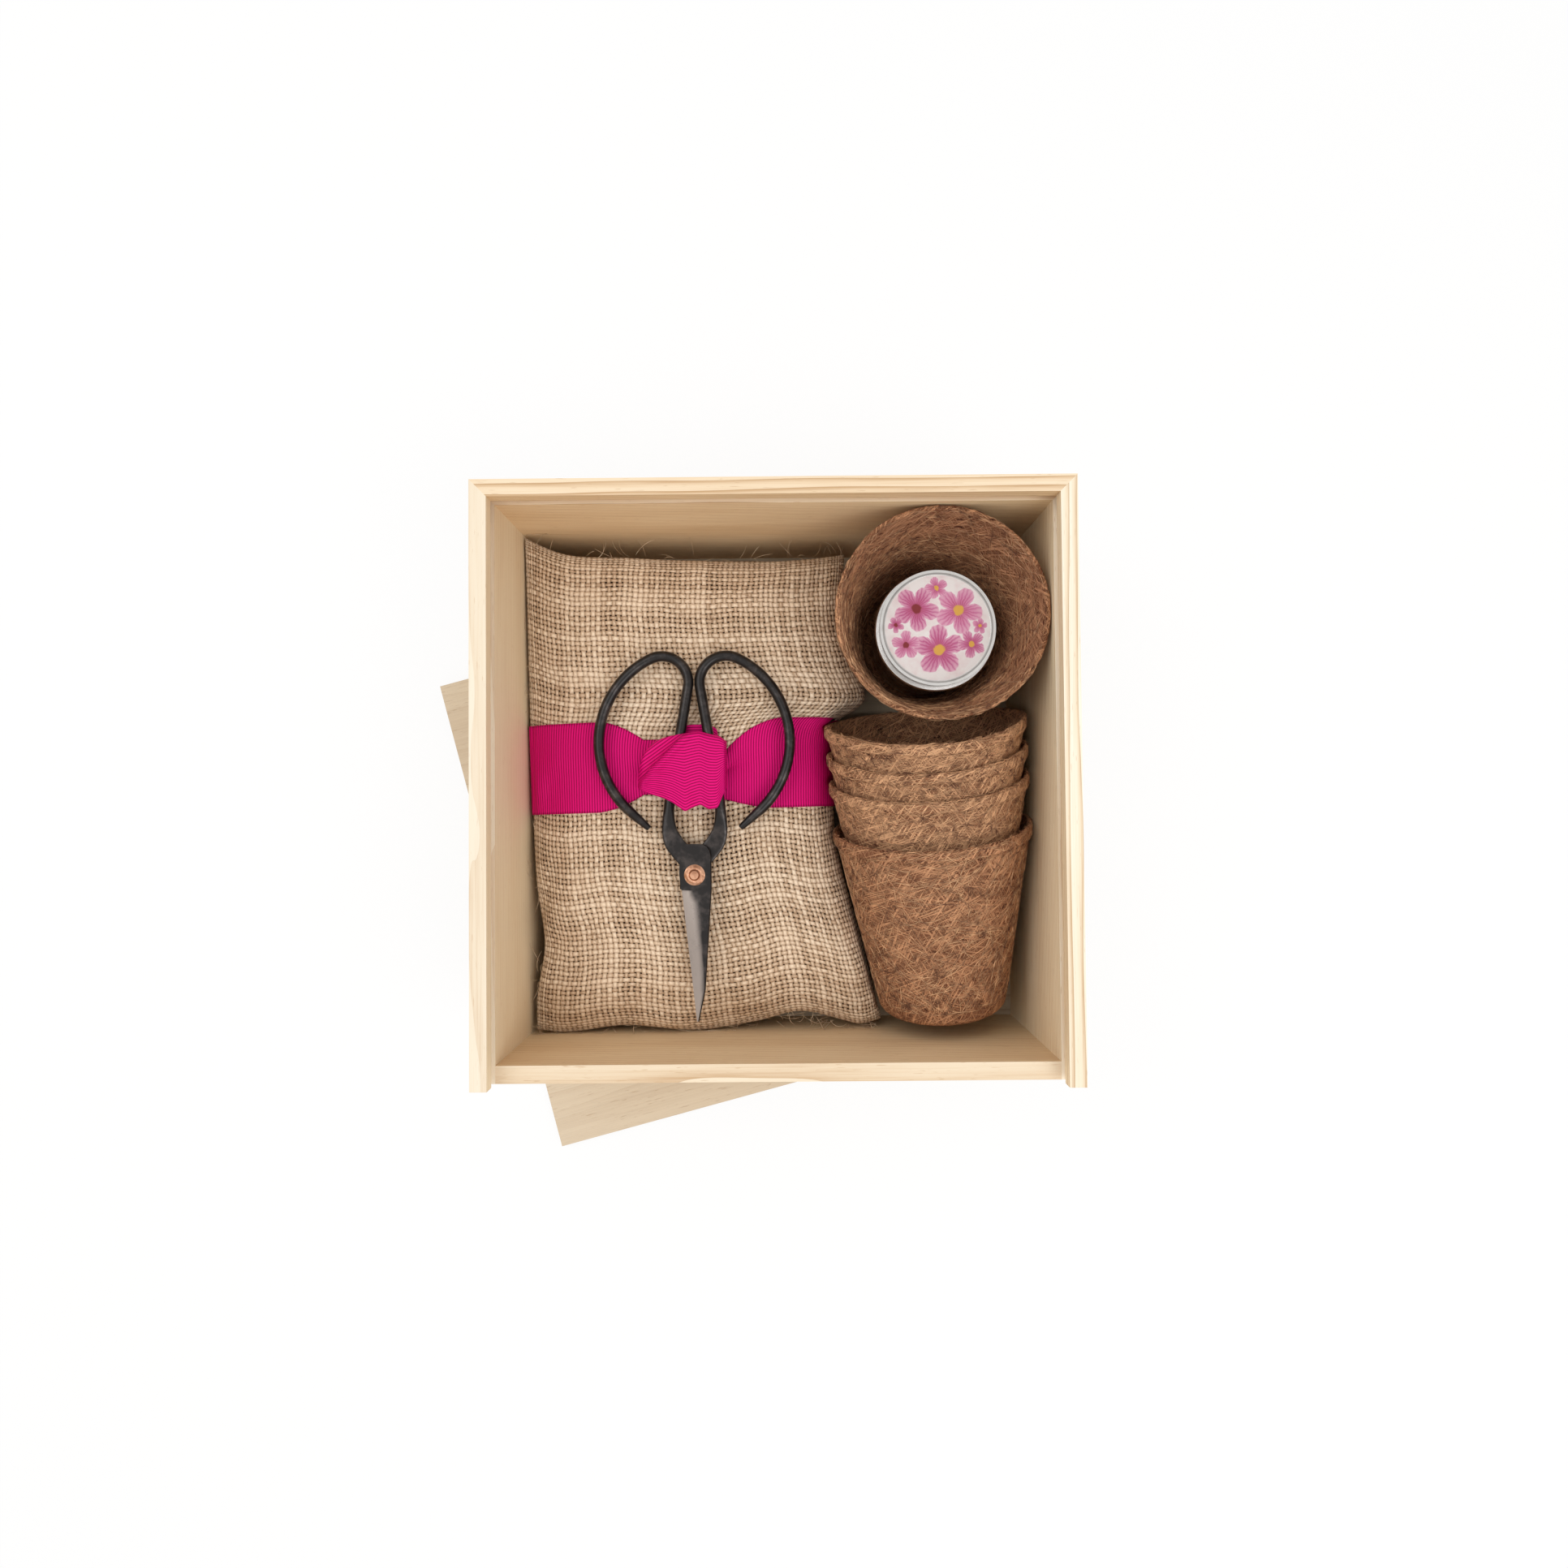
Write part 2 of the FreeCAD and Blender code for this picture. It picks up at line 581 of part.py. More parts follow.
def blade_plate(spine):
    """Flat of the half with its loop on the right: neck, pivot eye, and a blade with its back to the left."""
    reach = size("blade_length")
    eye = size("eye_reach")
    eye_top = size("eye_top")
    root_y = -size("blade_root")
    edge = size("blade_edge")
    blade = closed_face([
        flat(eye, eye_top * 0.8), flat(eye, 0), flat(eye - edge, root_y), flat(-edge / 2, -reach),
        flat(-edge * 1.5, -reach), flat(-spine * 0.6, -reach * 0.78), flat(-spine, root_y),
        flat(-spine, eye_top * 0.5), flat(-spine * 0.6, eye_top), flat(eye * 0.3, eye_top * 1.15)])
    aside = flat(neck_way.y, -neck_way.x) * (size("neck_width") / 2)
    neck = closed_face([neck_start + aside, shank_low + aside, shank_low - aside, neck_start - aside])
    hole = Part.makeCylinder(size("rivet_diameter") / 2 + size("rivet_clearance"), plate)
    return blade.extrude(Z_AXIS * plate).fuse(neck.extrude(Z_AXIS * plate)).cut(hole)


def ground_edge(solid):
    """Grind the face beside the cutting edge down to a thin edge, from below the pivot to the tip."""
    reach = size("blade_length")
    ridge_low = FreeCAD.Vector(0, -size("blade_root"), plate)
    ridge_tip = FreeCAD.Vector(-size("spine_reach") * 0.6, -reach * 0.8, plate)
    edge_low = FreeCAD.Vector(size("eye_reach"), -size("blade_root"), size("blade_edge"))
    along = (ridge_tip - ridge_low) * 2
    across = (edge_low - ridge_low) * 2
    grind = closed_face([ridge_low, ridge_low + across, ridge_low + across + along, ridge_low + along])
    above = across.cross(along).normalize()
    if above.z < 0:
        above = -above
    return solid.cut(grind.extrude(above * plate * 2))


loop = handle_loop()
lower_plate = blade_plate(size("spine_reach") - size("spine_inset"))
lower_plate.translate(Z_AXIS * (-plate - half_gap))
upper_plate = ground_edge(blade_plate(size("spine_reach")))
upper_plate.translate(Z_AXIS * half_gap)
lower_half = lower_plate.fuse(loop).removeSplitter()
upper_half = upper_plate.fuse(loop).removeSplitter().mirror(FreeCAD.Vector(), FreeCAD.Vector(1, 0, 0))
set_shape("half_below", "scissor_right_half", lower_half, pivot_place)
set_shape("half_above", "scissor_left_half", upper_half, pivot_place)

# Rivet with a head above and below, and a washer under each head
grip = plate + half_gap
rivet_radius = size("rivet_diameter") / 2
head_radius = rivet_radius + size("rivet_flare")
shank = Part.makeCylinder(rivet_radius, 2 * (grip + washer), Z_AXIS * -(grip + washer))
heads = []
rings = []
for sign in (-1, 1):
    way = Z_AXIS * sign
    heads.append(Part.makeCone(head_radius, rivet_radius, head_height, way * (grip + washer), way))
    ring = Part.makeCone(size("washer_diameter") / 2, head_radius + washer, washer, way * grip, way)
    rings.append(ring.cut(Part.makeCylinder(rivet_radius, washer, way * grip, way)))
set_shape("rivet", "pivot_rivet", shank.fuse(heads).removeSplitter(), pivot_place)
set_shape("washers", "rivet_washers", Part.makeCompound(rings), pivot_place)

# Ribbon knot: an arch of ribbon over both shanks, open at both ends, with slack on its left
knot_foot = bag_top + ribbon_build
knot_top = shear_level + bar_radius + 2 * size("ribbon_gap") + size("knot_wall")
knot_reach = size("shank_spread") + bar_radius + size("knot_gap") + size("knot_wall")
knot_left = pivot.x - knot_reach - size("knot_slack")
knot_right = pivot.x + knot_reach
shoulder = (knot_top - knot_foot) / 3
knot_start = pivot.y + size("knot_near")
knot_way = FreeCAD.Vector(0, size("knot_length"), 0)
arch = [(knot_left, knot_foot), (knot_left, knot_top - shoulder), (knot_left + shoulder, knot_top),
        (knot_right - shoulder, knot_top), (knot_right, knot_top - shoulder), (knot_right, knot_foot)]
arch_face = closed_face([FreeCAD.Vector(across, knot_start, up) for across, up in arch])
tunnel = arch_face.makeOffset2D(-size("knot_wall"), 2).extrude(knot_way)
tunnel_foot = tunnel.copy()
tunnel_foot.translate(Z_AXIS * -size("knot_wall"))
set_shape("knot", "ribbon_knot", arch_face.extrude(knot_way).cut(tunnel).cut(tunnel_foot))

# Every feature has to be sound before anything is written
doc.recompute()
for feature in doc.Objects:
    if "Invalid" in feature.State or "Error" in feature.State:
        raise RuntimeError(f"{feature.Name} failed: {feature.State}")
for feature in subparts:
    if feature.Shape.isNull() or not feature.Shape.isValid():
        raise RuntimeError(f"{feature.Label} has no sound shape")

os.makedirs("parts", exist_ok=True)
for feature in subparts:
    feature.Shape.exportStep(f"parts/{feature.Label}.step")
    print(f"{feature.Label}: {feature.Shape.Volume / 1000:.2f} cm3, {len(feature.Shape.Solids)} solids")
print(f"box length {half_length.value * 2:.2f}, pivot {tuple(round(value, 3) for value in pivot)}")
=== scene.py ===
import functools
import itertools
import logging
import math
from dataclasses import dataclass
from enum import Enum

import bmesh
import bpy
import numpy as np
from bpy.types import Material, Node, NodeOutputs, NodeSocket, NodeTree, Object
from mathutils import Matrix, Vector


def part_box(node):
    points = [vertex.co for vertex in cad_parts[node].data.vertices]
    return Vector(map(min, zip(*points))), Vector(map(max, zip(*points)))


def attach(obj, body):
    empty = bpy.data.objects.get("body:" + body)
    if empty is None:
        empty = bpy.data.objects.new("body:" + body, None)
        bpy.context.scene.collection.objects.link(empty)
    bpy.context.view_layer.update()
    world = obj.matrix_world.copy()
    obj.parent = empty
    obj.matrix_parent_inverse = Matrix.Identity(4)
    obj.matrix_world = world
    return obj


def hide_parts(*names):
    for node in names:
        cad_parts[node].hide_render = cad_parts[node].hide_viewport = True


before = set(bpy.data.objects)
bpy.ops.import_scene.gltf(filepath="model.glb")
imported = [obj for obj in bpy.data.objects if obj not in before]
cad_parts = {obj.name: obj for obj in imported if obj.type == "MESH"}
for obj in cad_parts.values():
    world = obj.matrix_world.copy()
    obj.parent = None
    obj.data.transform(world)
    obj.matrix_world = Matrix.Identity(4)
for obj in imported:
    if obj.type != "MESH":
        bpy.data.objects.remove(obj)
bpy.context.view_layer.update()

LOG = logging.getLogger("flower_box")
MM = 0.001

Place = tuple[float, float, float]
Colour = Place
Point = tuple[float, float]
Feed = NodeSocket | float | tuple


# Shader tools

class Graph:
    """Lays out nodes in one shader tree."""

    def __init__(self, tree: NodeTree) -> None:
        """Keep the tree that the nodes go into."""
        self.tree = tree

    def add(self, kind: str, feeds: dict[str | int, Feed] | None = None,
            **options: object) -> Node:
        """Add one node.

        Args:
            kind: Blender's name for the type of node.
            feeds: What goes into each named or numbered input: a socket or a plain value.
            **options: The node's own settings.

        Returns:
            The new node.
        """
        node = self.tree.nodes.new(kind)
        for option, value in options.items():
            setattr(node, option, value)
        for key, value in (feeds or {}).items():
            self.join(value, node.inputs[key])
        return node

    def join(self, value: Feed, socket: NodeSocket) -> None:
        """Link a socket into another, or set a plain value on it."""
        if isinstance(value, NodeSocket):
            self.tree.links.new(value, socket)
        elif socket.type == "RGBA":
            socket.default_value = (*value, 1.0)
        else:
            socket.default_value = value

    def math(self, operation: str, *values: Feed, clamp: bool = False) -> NodeSocket:
        """Output of a Math node over the given values."""
        node = self.add("ShaderNodeMath", dict(enumerate(values)), operation=operation, use_clamp=clamp)
        return node.outputs[0]

    plus = functools.partialmethod(math, "ADD")
    less = functools.partialmethod(math, "SUBTRACT")
    times = functools.partialmethod(math, "MULTIPLY")
    over = functools.partialmethod(math, "DIVIDE")
    size = functools.partialmethod(math, "ABSOLUTE")
    scaled = functools.partialmethod(math, "MULTIPLY_ADD")

    def length(self, x: Feed, y: Feed) -> NodeSocket:
        """Length of a flat vector."""
        return self.math("SQRT", self.plus(self.times(x, x), self.times(y, y)))

    def vary(self, noise: Feed, share: Feed, base: Feed) -> NodeSocket:
        """A base that noise moves up and down by a share."""
        return self.scaled(self.less(noise, 0.5), share, base)

    def vector(self, operation: str, *values: Feed) -> NodeSocket:
        """Output of a Vector Math node over the given vectors."""
        return self.add("ShaderNodeVectorMath", dict(enumerate(values)), operation=operation).outputs[0]

    def split(self, vector: Feed) -> tuple[NodeSocket, ...]:
        """The three parts of a vector."""
        return tuple(self.add("ShaderNodeSeparateXYZ", {0: vector}).outputs)

    def combine(self, x: Feed, y: Feed, z: Feed) -> NodeSocket:
        """A vector from its three parts."""
        return self.add("ShaderNodeCombineXYZ", {0: x, 1: y, 2: z}).outputs[0]

    def coords(self, kind: str) -> NodeSocket:
        """Coordinates or normal of the surface, in its own frame."""
        return self.add("ShaderNodeTexCoord").outputs[kind]

    def cloth(self) -> NodeSocket:
        """Distances along and across a piece of cloth, in metres."""
        return self.add("ShaderNodeUVMap", uv_map="Cloth").outputs[0]

    def noise(self, place: Feed, scale: float | Place, detail: float = 2.0,
              rough: float = 0.5) -> NodeSocket:
        """Value of a noise texture at a place, with one scale or a scale for each axis."""
        if isinstance(scale, tuple):
            place, scale = self.vector("MULTIPLY", place, scale), 1.0
        feeds = {"Vector": place, "Scale": scale, "Detail": detail, "Roughness": rough}
        return self.add("ShaderNodeTexNoise", feeds).outputs[0]

    def chance(self, value: Feed) -> NodeSocket:
        """A random share for each whole number."""
        return self.add("ShaderNodeTexWhiteNoise", {"W": value}, noise_dimensions="1D").outputs["Value"]

    def fit(self, value: Feed, low: float, high: float, start: float = 0.0,
            end: float = 1.0) -> NodeSocket:
        """Smooth step of a value from low to high, spread from start to end."""
        feeds = {"Value": value, "From Min": low, "From Max": high, "To Min": start, "To Max": end}
        return self.add("ShaderNodeMapRange", feeds, interpolation_type="SMOOTHSTEP").outputs[0]

    def ramp(self, value: Feed, *stops: tuple[float, Colour]) -> NodeSocket:
        """Colour of a value on a ramp.

        Args:
            value: Where on the ramp to read.
            *stops: Place and colour of each stop, from low to high.

        Returns:
            The colour socket.
        """
        node = self.add("ShaderNodeValToRGB", {0: value})
        while len(node.color_ramp.elements) < len(stops):
            node.color_ramp.elements.new(1.0)
        for element, (place, colour) in zip(node.color_ramp.elements, stops):
            element.position = place
            element.color = (*colour, 1.0)
        return node.outputs[0]

    def mix(self, share: Feed, first: Feed, second: Feed, mode: str = "MIX") -> NodeSocket:
        """Colour between two colours."""
        feeds = {0: share, 6: first, 7: second}
        return self.add("ShaderNodeMix", feeds, data_type="RGBA", blend_type=mode).outputs[2]

    def bump(self, height: Feed, distance: float, strength: float) -> NodeSocket:
        """Normal of a surface raised by a height."""
        feeds = {"Height": height, "Distance": distance, "Strength": strength}
        return self.add("ShaderNodeBump", feeds).outputs[0]

    def turned(self, vector: Feed, angle: float) -> NodeSocket:
        """A vector turned about Z by an angle in radians."""
        feeds = {"Vector": vector, "Angle": angle}
        return self.add("ShaderNodeVectorRotate", feeds, rotation_type="Z_AXIS").outputs[0]

    def effect(self, tree: NodeTree, **feeds: Feed) -> NodeOutputs:
        """Outputs of a shared effect that is given its own values."""
        return self.add("ShaderNodeGroup", feeds, node_tree=tree).outputs


class Effect(Graph):
    """A shared shader effect, which is a group of nodes with named inputs and outputs."""

    def __init__(self, name: str, inputs: dict[str, float | None]) -> None:
        """Start the effect.

        Args:
            name: Name of the node group.
            inputs: Default of each input value, or None for a vector.
        """
        super().__init__(bpy.data.node_groups.new(name, "ShaderNodeTree"))
        for label, default in inputs.items():
            kind = "NodeSocketVector" if default is None else "NodeSocketFloat"
            socket = self.tree.interface.new_socket(name=label, in_out="INPUT", socket_type=kind)
            if default is not None:
                socket.default_value = default
        self.given = self.add("NodeGroupInput").outputs

    def end(self, **values: NodeSocket) -> NodeTree:
        """Name and join the outputs, and give back the finished group."""
        for label in values:
            self.tree.interface.new_socket(name=label, in_out="OUTPUT", socket_type="NodeSocketFloat")
        self.add("NodeGroupOutput", values)
        return self.tree


@functools.cache
def grain_effect() -> NodeTree:
    """Year rings, fine streaks and slow clouding of a board whose grain runs along X."""
    graph = Effect("board_grain", {"Board": None, "Pitch": 0.0012, "Wander": 1.0})
    board = graph.given["Board"]
    _, across, height = graph.split(board)
    # Each noise is given how often it changes along, across and through the board, per metre
    wander = graph.noise(board, (5.0, 45.0, 45.0), 2.0)
    # How far the heart of the tree lies beside and below the board, in metres
    beside, below = 0.031, 0.145
    radius = graph.length(graph.plus(across, beside), graph.plus(height, below))
    even = graph.over(radius, graph.given["Pitch"])
    turns = graph.vary(wander, graph.given["Wander"], even)
    # Each ring darkens slowly and ends at a sharp edge
    rings = graph.math("POWER", graph.math("FRACT", turns), 2.4)
    streaks = graph.noise(board, (30.0, 1500.0, 1500.0), 2.0)
    cloud = graph.noise(board, (7.0, 60.0, 60.0), 2.0)
    return graph.end(Rings=rings, Streaks=streaks, Cloud=cloud)


@functools.cache
def weave_effect() -> NodeTree:
    """Open plain weave in cloth coordinates, with uneven threads."""
    graph = Effect("open_weave", {"Cloth": None, "Pitch": 0.0024})
    cloth, pitch = graph.given["Cloth"], graph.given["Pitch"]
    sway = graph.add("ShaderNodeTexNoise", {"Vector": cloth, "Scale": 90.0, "Detail": 2.0}).outputs["Color"]
    sway_x, sway_y, slub = graph.split(sway)
    along, across, _ = graph.split(cloth)
    # Place in pitches along and across the cloth, with threads that sway by up to this share of one
    loose = 0.8
    a = graph.plus(graph.over(along, pitch), graph.times(sway_x, loose))
    b = graph.plus(graph.over(across, pitch), graph.times(sway_y, loose))
    cell_a, cell_b = graph.math("FLOOR", a), graph.math("FLOOR", b)

    def thread(place: Feed, cell: Feed, seed: float, least: float) -> tuple[Feed, Feed]:
        """Round profile across one thread, and its random share."""
        luck = graph.chance(graph.plus(cell, seed))
        half = graph.scaled(slub, 0.16, graph.scaled(luck, 0.12, least))
        aside = graph.over(graph.less(graph.less(place, cell), 0.5), half)
        left = graph.less(1.0, graph.times(aside, aside))
        return graph.math("SQRT", graph.math("MAXIMUM", left, 0.0)), luck

    def rise(place: Feed, cell: Feed, sign: float) -> Feed:
        """How high a thread rides over the ones that cross it."""
        middle, swing = 0.55, 0.45
        turn = graph.times(graph.plus(graph.less(place, 0.5), cell), math.pi)
        return graph.scaled(graph.math("COSINE", turn), swing * sign, middle)

    # Seed and least half width of the threads each way, as a share of the pitch
    warp, warp_luck = thread(a, cell_a, 13.5, 0.22)
    weft, weft_luck = thread(b, cell_b, 71.5, 0.27)
    warp_height = graph.times(warp, rise(b, cell_a, 1.0))
    weft_height = graph.times(weft, rise(a, cell_b, -1.0))
    height = graph.math("MAXIMUM", warp_height, weft_height)
    on_top = graph.math("GREATER_THAN", weft_height, warp_height)
    tone = graph.plus(graph.times(on_top, weft_luck),
                      graph.times(graph.less(1.0, on_top), warp_luck))
    cover = graph.fit(graph.math("MAXIMUM", warp, weft), 0.04, 0.42)
    return graph.end(Height=height, Cover=cover, Tone=tone)


@functools.cache
def rib_effect() -> NodeTree:
    """Ribs across a woven ribbon, and the turned edge along its two sides."""
    graph = Effect("ribbon_ribs", {"Cloth": None, "Pitch": 0.0012, "Width": 0.04})
    cloth = graph.given["Cloth"]
    along, across, _ = graph.split(cloth)
    turn = graph.times(graph.over(along, graph.given["Pitch"]), math.pi)
    rib = graph.math("POWER", graph.size(graph.math("SINE", turn)), 0.8)
    middle = graph.times(graph.given["Width"], 0.5)
    side = graph.less(middle, graph.size(graph.less(across, middle)))
    # The turned edge fades out between these distances from the side, in metres
    edge = graph.fit(side, 0.0006, 0.0012, 1.0, 0.0)
    thread = graph.noise(cloth, (900.0, 5000.0, 1.0), 1.0)
    return graph.end(Height=rib, Edge=edge, Thread=thread)


@functools.cache
def fibre_effect() -> NodeTree:
    """Matted fibre strands that lie in several directions, with dark flecks between them."""
    graph = Effect("matted_fibre", {"Cloth": None})
    cloth = graph.given["Cloth"]
    strands: NodeSocket | None = None
    # Angle of each layer, and how often its noise changes along and across the strands
    layers = ((0.25, 30.0, 820.0), (1.05, 40.0, 1050.0), (2.1, 34.0, 700.0), (2.75, 26.0, 1200.0))
    for angle, stretch, fine in layers:
        spread = graph.vector("MULTIPLY", graph.turned(cloth, angle), (stretch, fine, 1.0))
        wave = graph.noise(graph.vector("ADD", spread, (angle * 40.0, 0.0, 0.0)), 1.0, 1.0, 0.5)
        crest = graph.size(graph.less(graph.times(wave, 2.0), 1.0))
        line = graph.fit(crest, 0.0, 0.13, 1.0, 0.0)
        if strands is None:
            strands = line
        else:
            strands = graph.math("MAXIMUM", graph.times(strands, 0.85), line)
    cracks = graph.noise(cloth, (130.0, 190.0, 1.0), 4.0, 0.7)
    flecks = graph.fit(cracks, 0.615, 0.69)
    cloud = graph.noise(cloth, 75.0, 3.0)
    return graph.end(Strands=strands, Flecks=flecks, Cloud=cloud)


@functools.cache
def wear_effect() -> NodeTree:
    """Rubbed patches, fine scratches and hammer marks of handled metal."""
    graph = Effect("metal_wear", {"Place": None, "Marks": 240.0})
    place = graph.given["Place"]
    rub = graph.fit(graph.noise(place, 160.0, 4.0, 0.6), 0.45, 0.72)
    lines = graph.noise(place, (2600.0, 140.0, 2600.0), 1.0)
    scratch = graph.fit(lines, 0.62, 0.72)
    dents = graph.add("ShaderNodeTexVoronoi", {"Vector": place, "Scale": graph.given["Marks"]},
                      feature="SMOOTH_F1").outputs[0]
    return graph.end(Rub=rub, Scratch=scratch, Dents=dents)


@functools.cache
def blossom_effect() -> NodeTree:
    """One five-petalled blossom in a flat print."""
    graph = Effect("blossom", {"Place": None, "Across": 0.0, "Up": 0.0, "Size": 0.005, "Turn": 0.0})
    x, y, _ = graph.split(graph.given["Place"])
    dx, dy = graph.less(x, graph.given["Across"]), graph.less(y, graph.given["Up"])
    reach = graph.over(graph.length(dx, dy), graph.given["Size"])
    angle = graph.plus(graph.math("ARCTAN2", dy, dx), graph.given["Turn"])
    # Half the number of petals and half the number of veins
    half_petals, half_veins = 2.5, 15.0
    lobe = graph.size(graph.math("COSINE", graph.times(angle, half_petals)))
    rim = graph.scaled(graph.math("POWER", lobe, 0.55), 0.55, 0.45)
    share = graph.over(reach, rim)
    petals = graph.fit(share, 0.93, 1.0, 1.0, 0.0)
    eye = graph.fit(reach, 0.17, 0.24, 1.0, 0.0)
    veins = graph.size(graph.math("SINE", graph.times(angle, half_veins)))
    outward = graph.times(share, 0.7)
    shade = graph.plus(graph.times(veins, 0.3), outward, clamp=True)
    return graph.end(Petals=petals, Eye=eye, Shade=shade)


class Skin(Graph):
    """The graph of one material, with its Principled shader."""

    def __init__(self, name: str) -> None:
        """Start the material."""
        self.material = bpy.data.materials.new(name)
        self.material.use_nodes = True
        super().__init__(self.material.node_tree)
        self.shader = next(node for node in self.tree.nodes if node.type == "BSDF_PRINCIPLED")

    def wear(self, name: str, value: Feed) -> None:
        """Feed one input of the shader."""
        self.join(value, self.shader.inputs[name])


# Finishes

@dataclass(frozen=True)
class Finish:
    """A finish with a name."""

    name: str

    def material(self) -> Material:
        """Make the material."""
        skin = Skin(self.name)
        self.paint(skin)
        return skin.material

    def paint(self, graph: Skin) -> None:
        """Lay out the finish, which each kind does in its own way."""
        raise NotImplementedError


class Along(Enum):
    """Which way the grain of a board runs."""

    X = 0
    Y = 1
    TURNED = 2


@dataclass(frozen=True)
class Wood(Finish):
    """Bare softwood or plywood, planed and left unvarnished."""

    along: Along
    pale: Colour = (0.89, 0.745, 0.555)
    middle: Colour = (0.80, 0.615, 0.415)
    dark: Colour = (0.56, 0.36, 0.195)
    pitch: float = 0.0013
    wander: float = 2.2
    rings: float = 0.5
    cut: Place = (0.0, 0.0, 0.0)
    # Painted warm shade for the faces that don't face up
    painted_side_warmth: Colour = (1.0, 0.93, 0.80)
    lid_turn: float = -14.8

    def paint(self, graph: Skin) -> None:
        """Lay out the finish."""
        place = graph.coords("Object")
        if self.along is Along.TURNED:
            place = graph.turned(place, math.radians(self.lid_turn))
        x, y, z = graph.split(place)
        board = graph.combine(y, x, z) if self.along is Along.Y else graph.combine(x, y, z)
        board = graph.vector("ADD", board, self.cut)
        grain = graph.effect(grain_effect(), Board=board, Pitch=self.pitch, Wander=self.wander)
        fine = graph.fit(grain["Streaks"], 0.3, 0.75)
        slow = graph.fit(grain["Cloud"], 0.3, 0.7)
        depth = graph.times(grain["Rings"], self.rings)
        depth = graph.scaled(fine, 0.24, depth)
        depth = graph.scaled(slow, 0.22, depth)
        colour = graph.ramp(depth, (0.05, self.pale), (0.5, self.middle), (1.0, self.dark))
        pores = graph.noise(board, (160.0, 1900.0, 1900.0), 1.0)
        colour = graph.mix(graph.fit(pores, 0.66, 0.76, 0.0, 0.55), colour, self.dark)
        # Faces that don't face up are made warmer and darker: painted shade, standing in for light bounced
        # between the boards
        _, _, upward = graph.split(graph.coords("Normal"))
        painted_side_warmth = graph.mix(1.0, colour, self.painted_side_warmth, "MULTIPLY")
        graph.wear("Base Color", graph.mix(graph.fit(upward, 0.4, 0.8), painted_side_warmth, colour))
        graph.wear("Roughness", graph.fit(grain["Streaks"], 0.2, 0.8, 0.72, 0.56))
        relief = graph.less(graph.times(grain["Streaks"], 0.6),
                            graph.times(grain["Rings"], 0.35))
        graph.wear("Normal", graph.bump(relief, 0.00025, 0.6))
        graph.wear("Specular IOR Level", 0.25)


@dataclass(frozen=True)
class Hessian(Finish):
    """Open jute sacking."""

    name: str = "hessian"
    # The ramp from deep to bright carries painted shade and highlight on the threads, as well as their own
    # tone
    deep: Colour = (0.19, 0.103, 0.054)
    middle: Colour = (0.545, 0.370, 0.235)
    bright: Colour = (0.95, 0.775, 0.595)
    gap_compost_and_shade: Colour = (0.014, 0.006, 0.0035)
    pitch: float = 0.00235

    def paint(self, graph: Skin) -> None:
        """Lay out the finish."""
        cloth = graph.cloth()
        weave = graph.effect(weave_effect(), Cloth=cloth, Pitch=self.pitch)
        fuzz = graph.noise(cloth, 1900.0, 2.0, 0.6)
        patch = graph.noise(cloth, 70.0, 2.0)
        # Threads are painted darker where they dip under the crossing threads and lighter on their crests:
        # painted shade and highlight. Their tone also changes at random from thread to thread.
        tone = graph.scaled(weave["Height"], 0.56, 0.07)
        tone = graph.scaled(weave["Tone"], 0.26, tone)
        tone = graph.vary(patch, 0.15, graph.vary(fuzz, 0.5, tone))
        colour = graph.ramp(tone, (0.08, self.deep), (0.45, self.middle), (0.85, self.bright))
        # The gaps between the threads are painted near black: painted shade, with the dark compost that
        # shows through them
        colour = graph.mix(weave["Cover"], self.gap_compost_and_shade, colour)
        graph.wear("Base Color", colour)
        graph.wear("Roughness", graph.fit(fuzz, 0.2, 0.8, 0.82, 0.96))
        relief = graph.scaled(fuzz, 0.12, weave["Height"])
        graph.wear("Normal", graph.bump(relief, 0.0009, 0.8))
        graph.wear("Specular IOR Level", 0.15)
        graph.wear("Sheen Weight", 0.1)


@dataclass(frozen=True)
class Grosgrain(Finish):
    """Ribbed magenta ribbon."""

    name: str = "grosgrain"
    # Shaded and lit copies of the magenta, for painted shade in the rib grooves and painted light on the
    # crests
    deep: Colour = (0.22, 0.001, 0.043)
    lit: Colour = (0.78, 0.005, 0.195)
    pitch: float = 0.00118

    def paint(self, graph: Skin) -> None:
        """Lay out the finish."""
        cloth = graph.cloth()
        ribs = graph.effect(rib_effect(), Cloth=cloth, Pitch=self.pitch, Width=Ribbon.width)
        share = graph.vary(ribs["Thread"], 0.35, ribs["Height"])
        share = graph.less(share, graph.times(ribs["Edge"], 0.35), clamp=True)
        # The colour runs from the shaded copy in the grooves to the lit copy on the crests: painted shade
        # and painted light
        graph.wear("Base Color", graph.ramp(share, (0.1, self.deep), (0.85, self.lit)))
        graph.wear("Roughness", graph.fit(ribs["Thread"], 0.2, 0.8, 0.62, 0.48))
        graph.wear("Normal", graph.bump(ribs["Height"], 0.00035, 0.7))
        graph.wear("Specular IOR Level", 0.1)


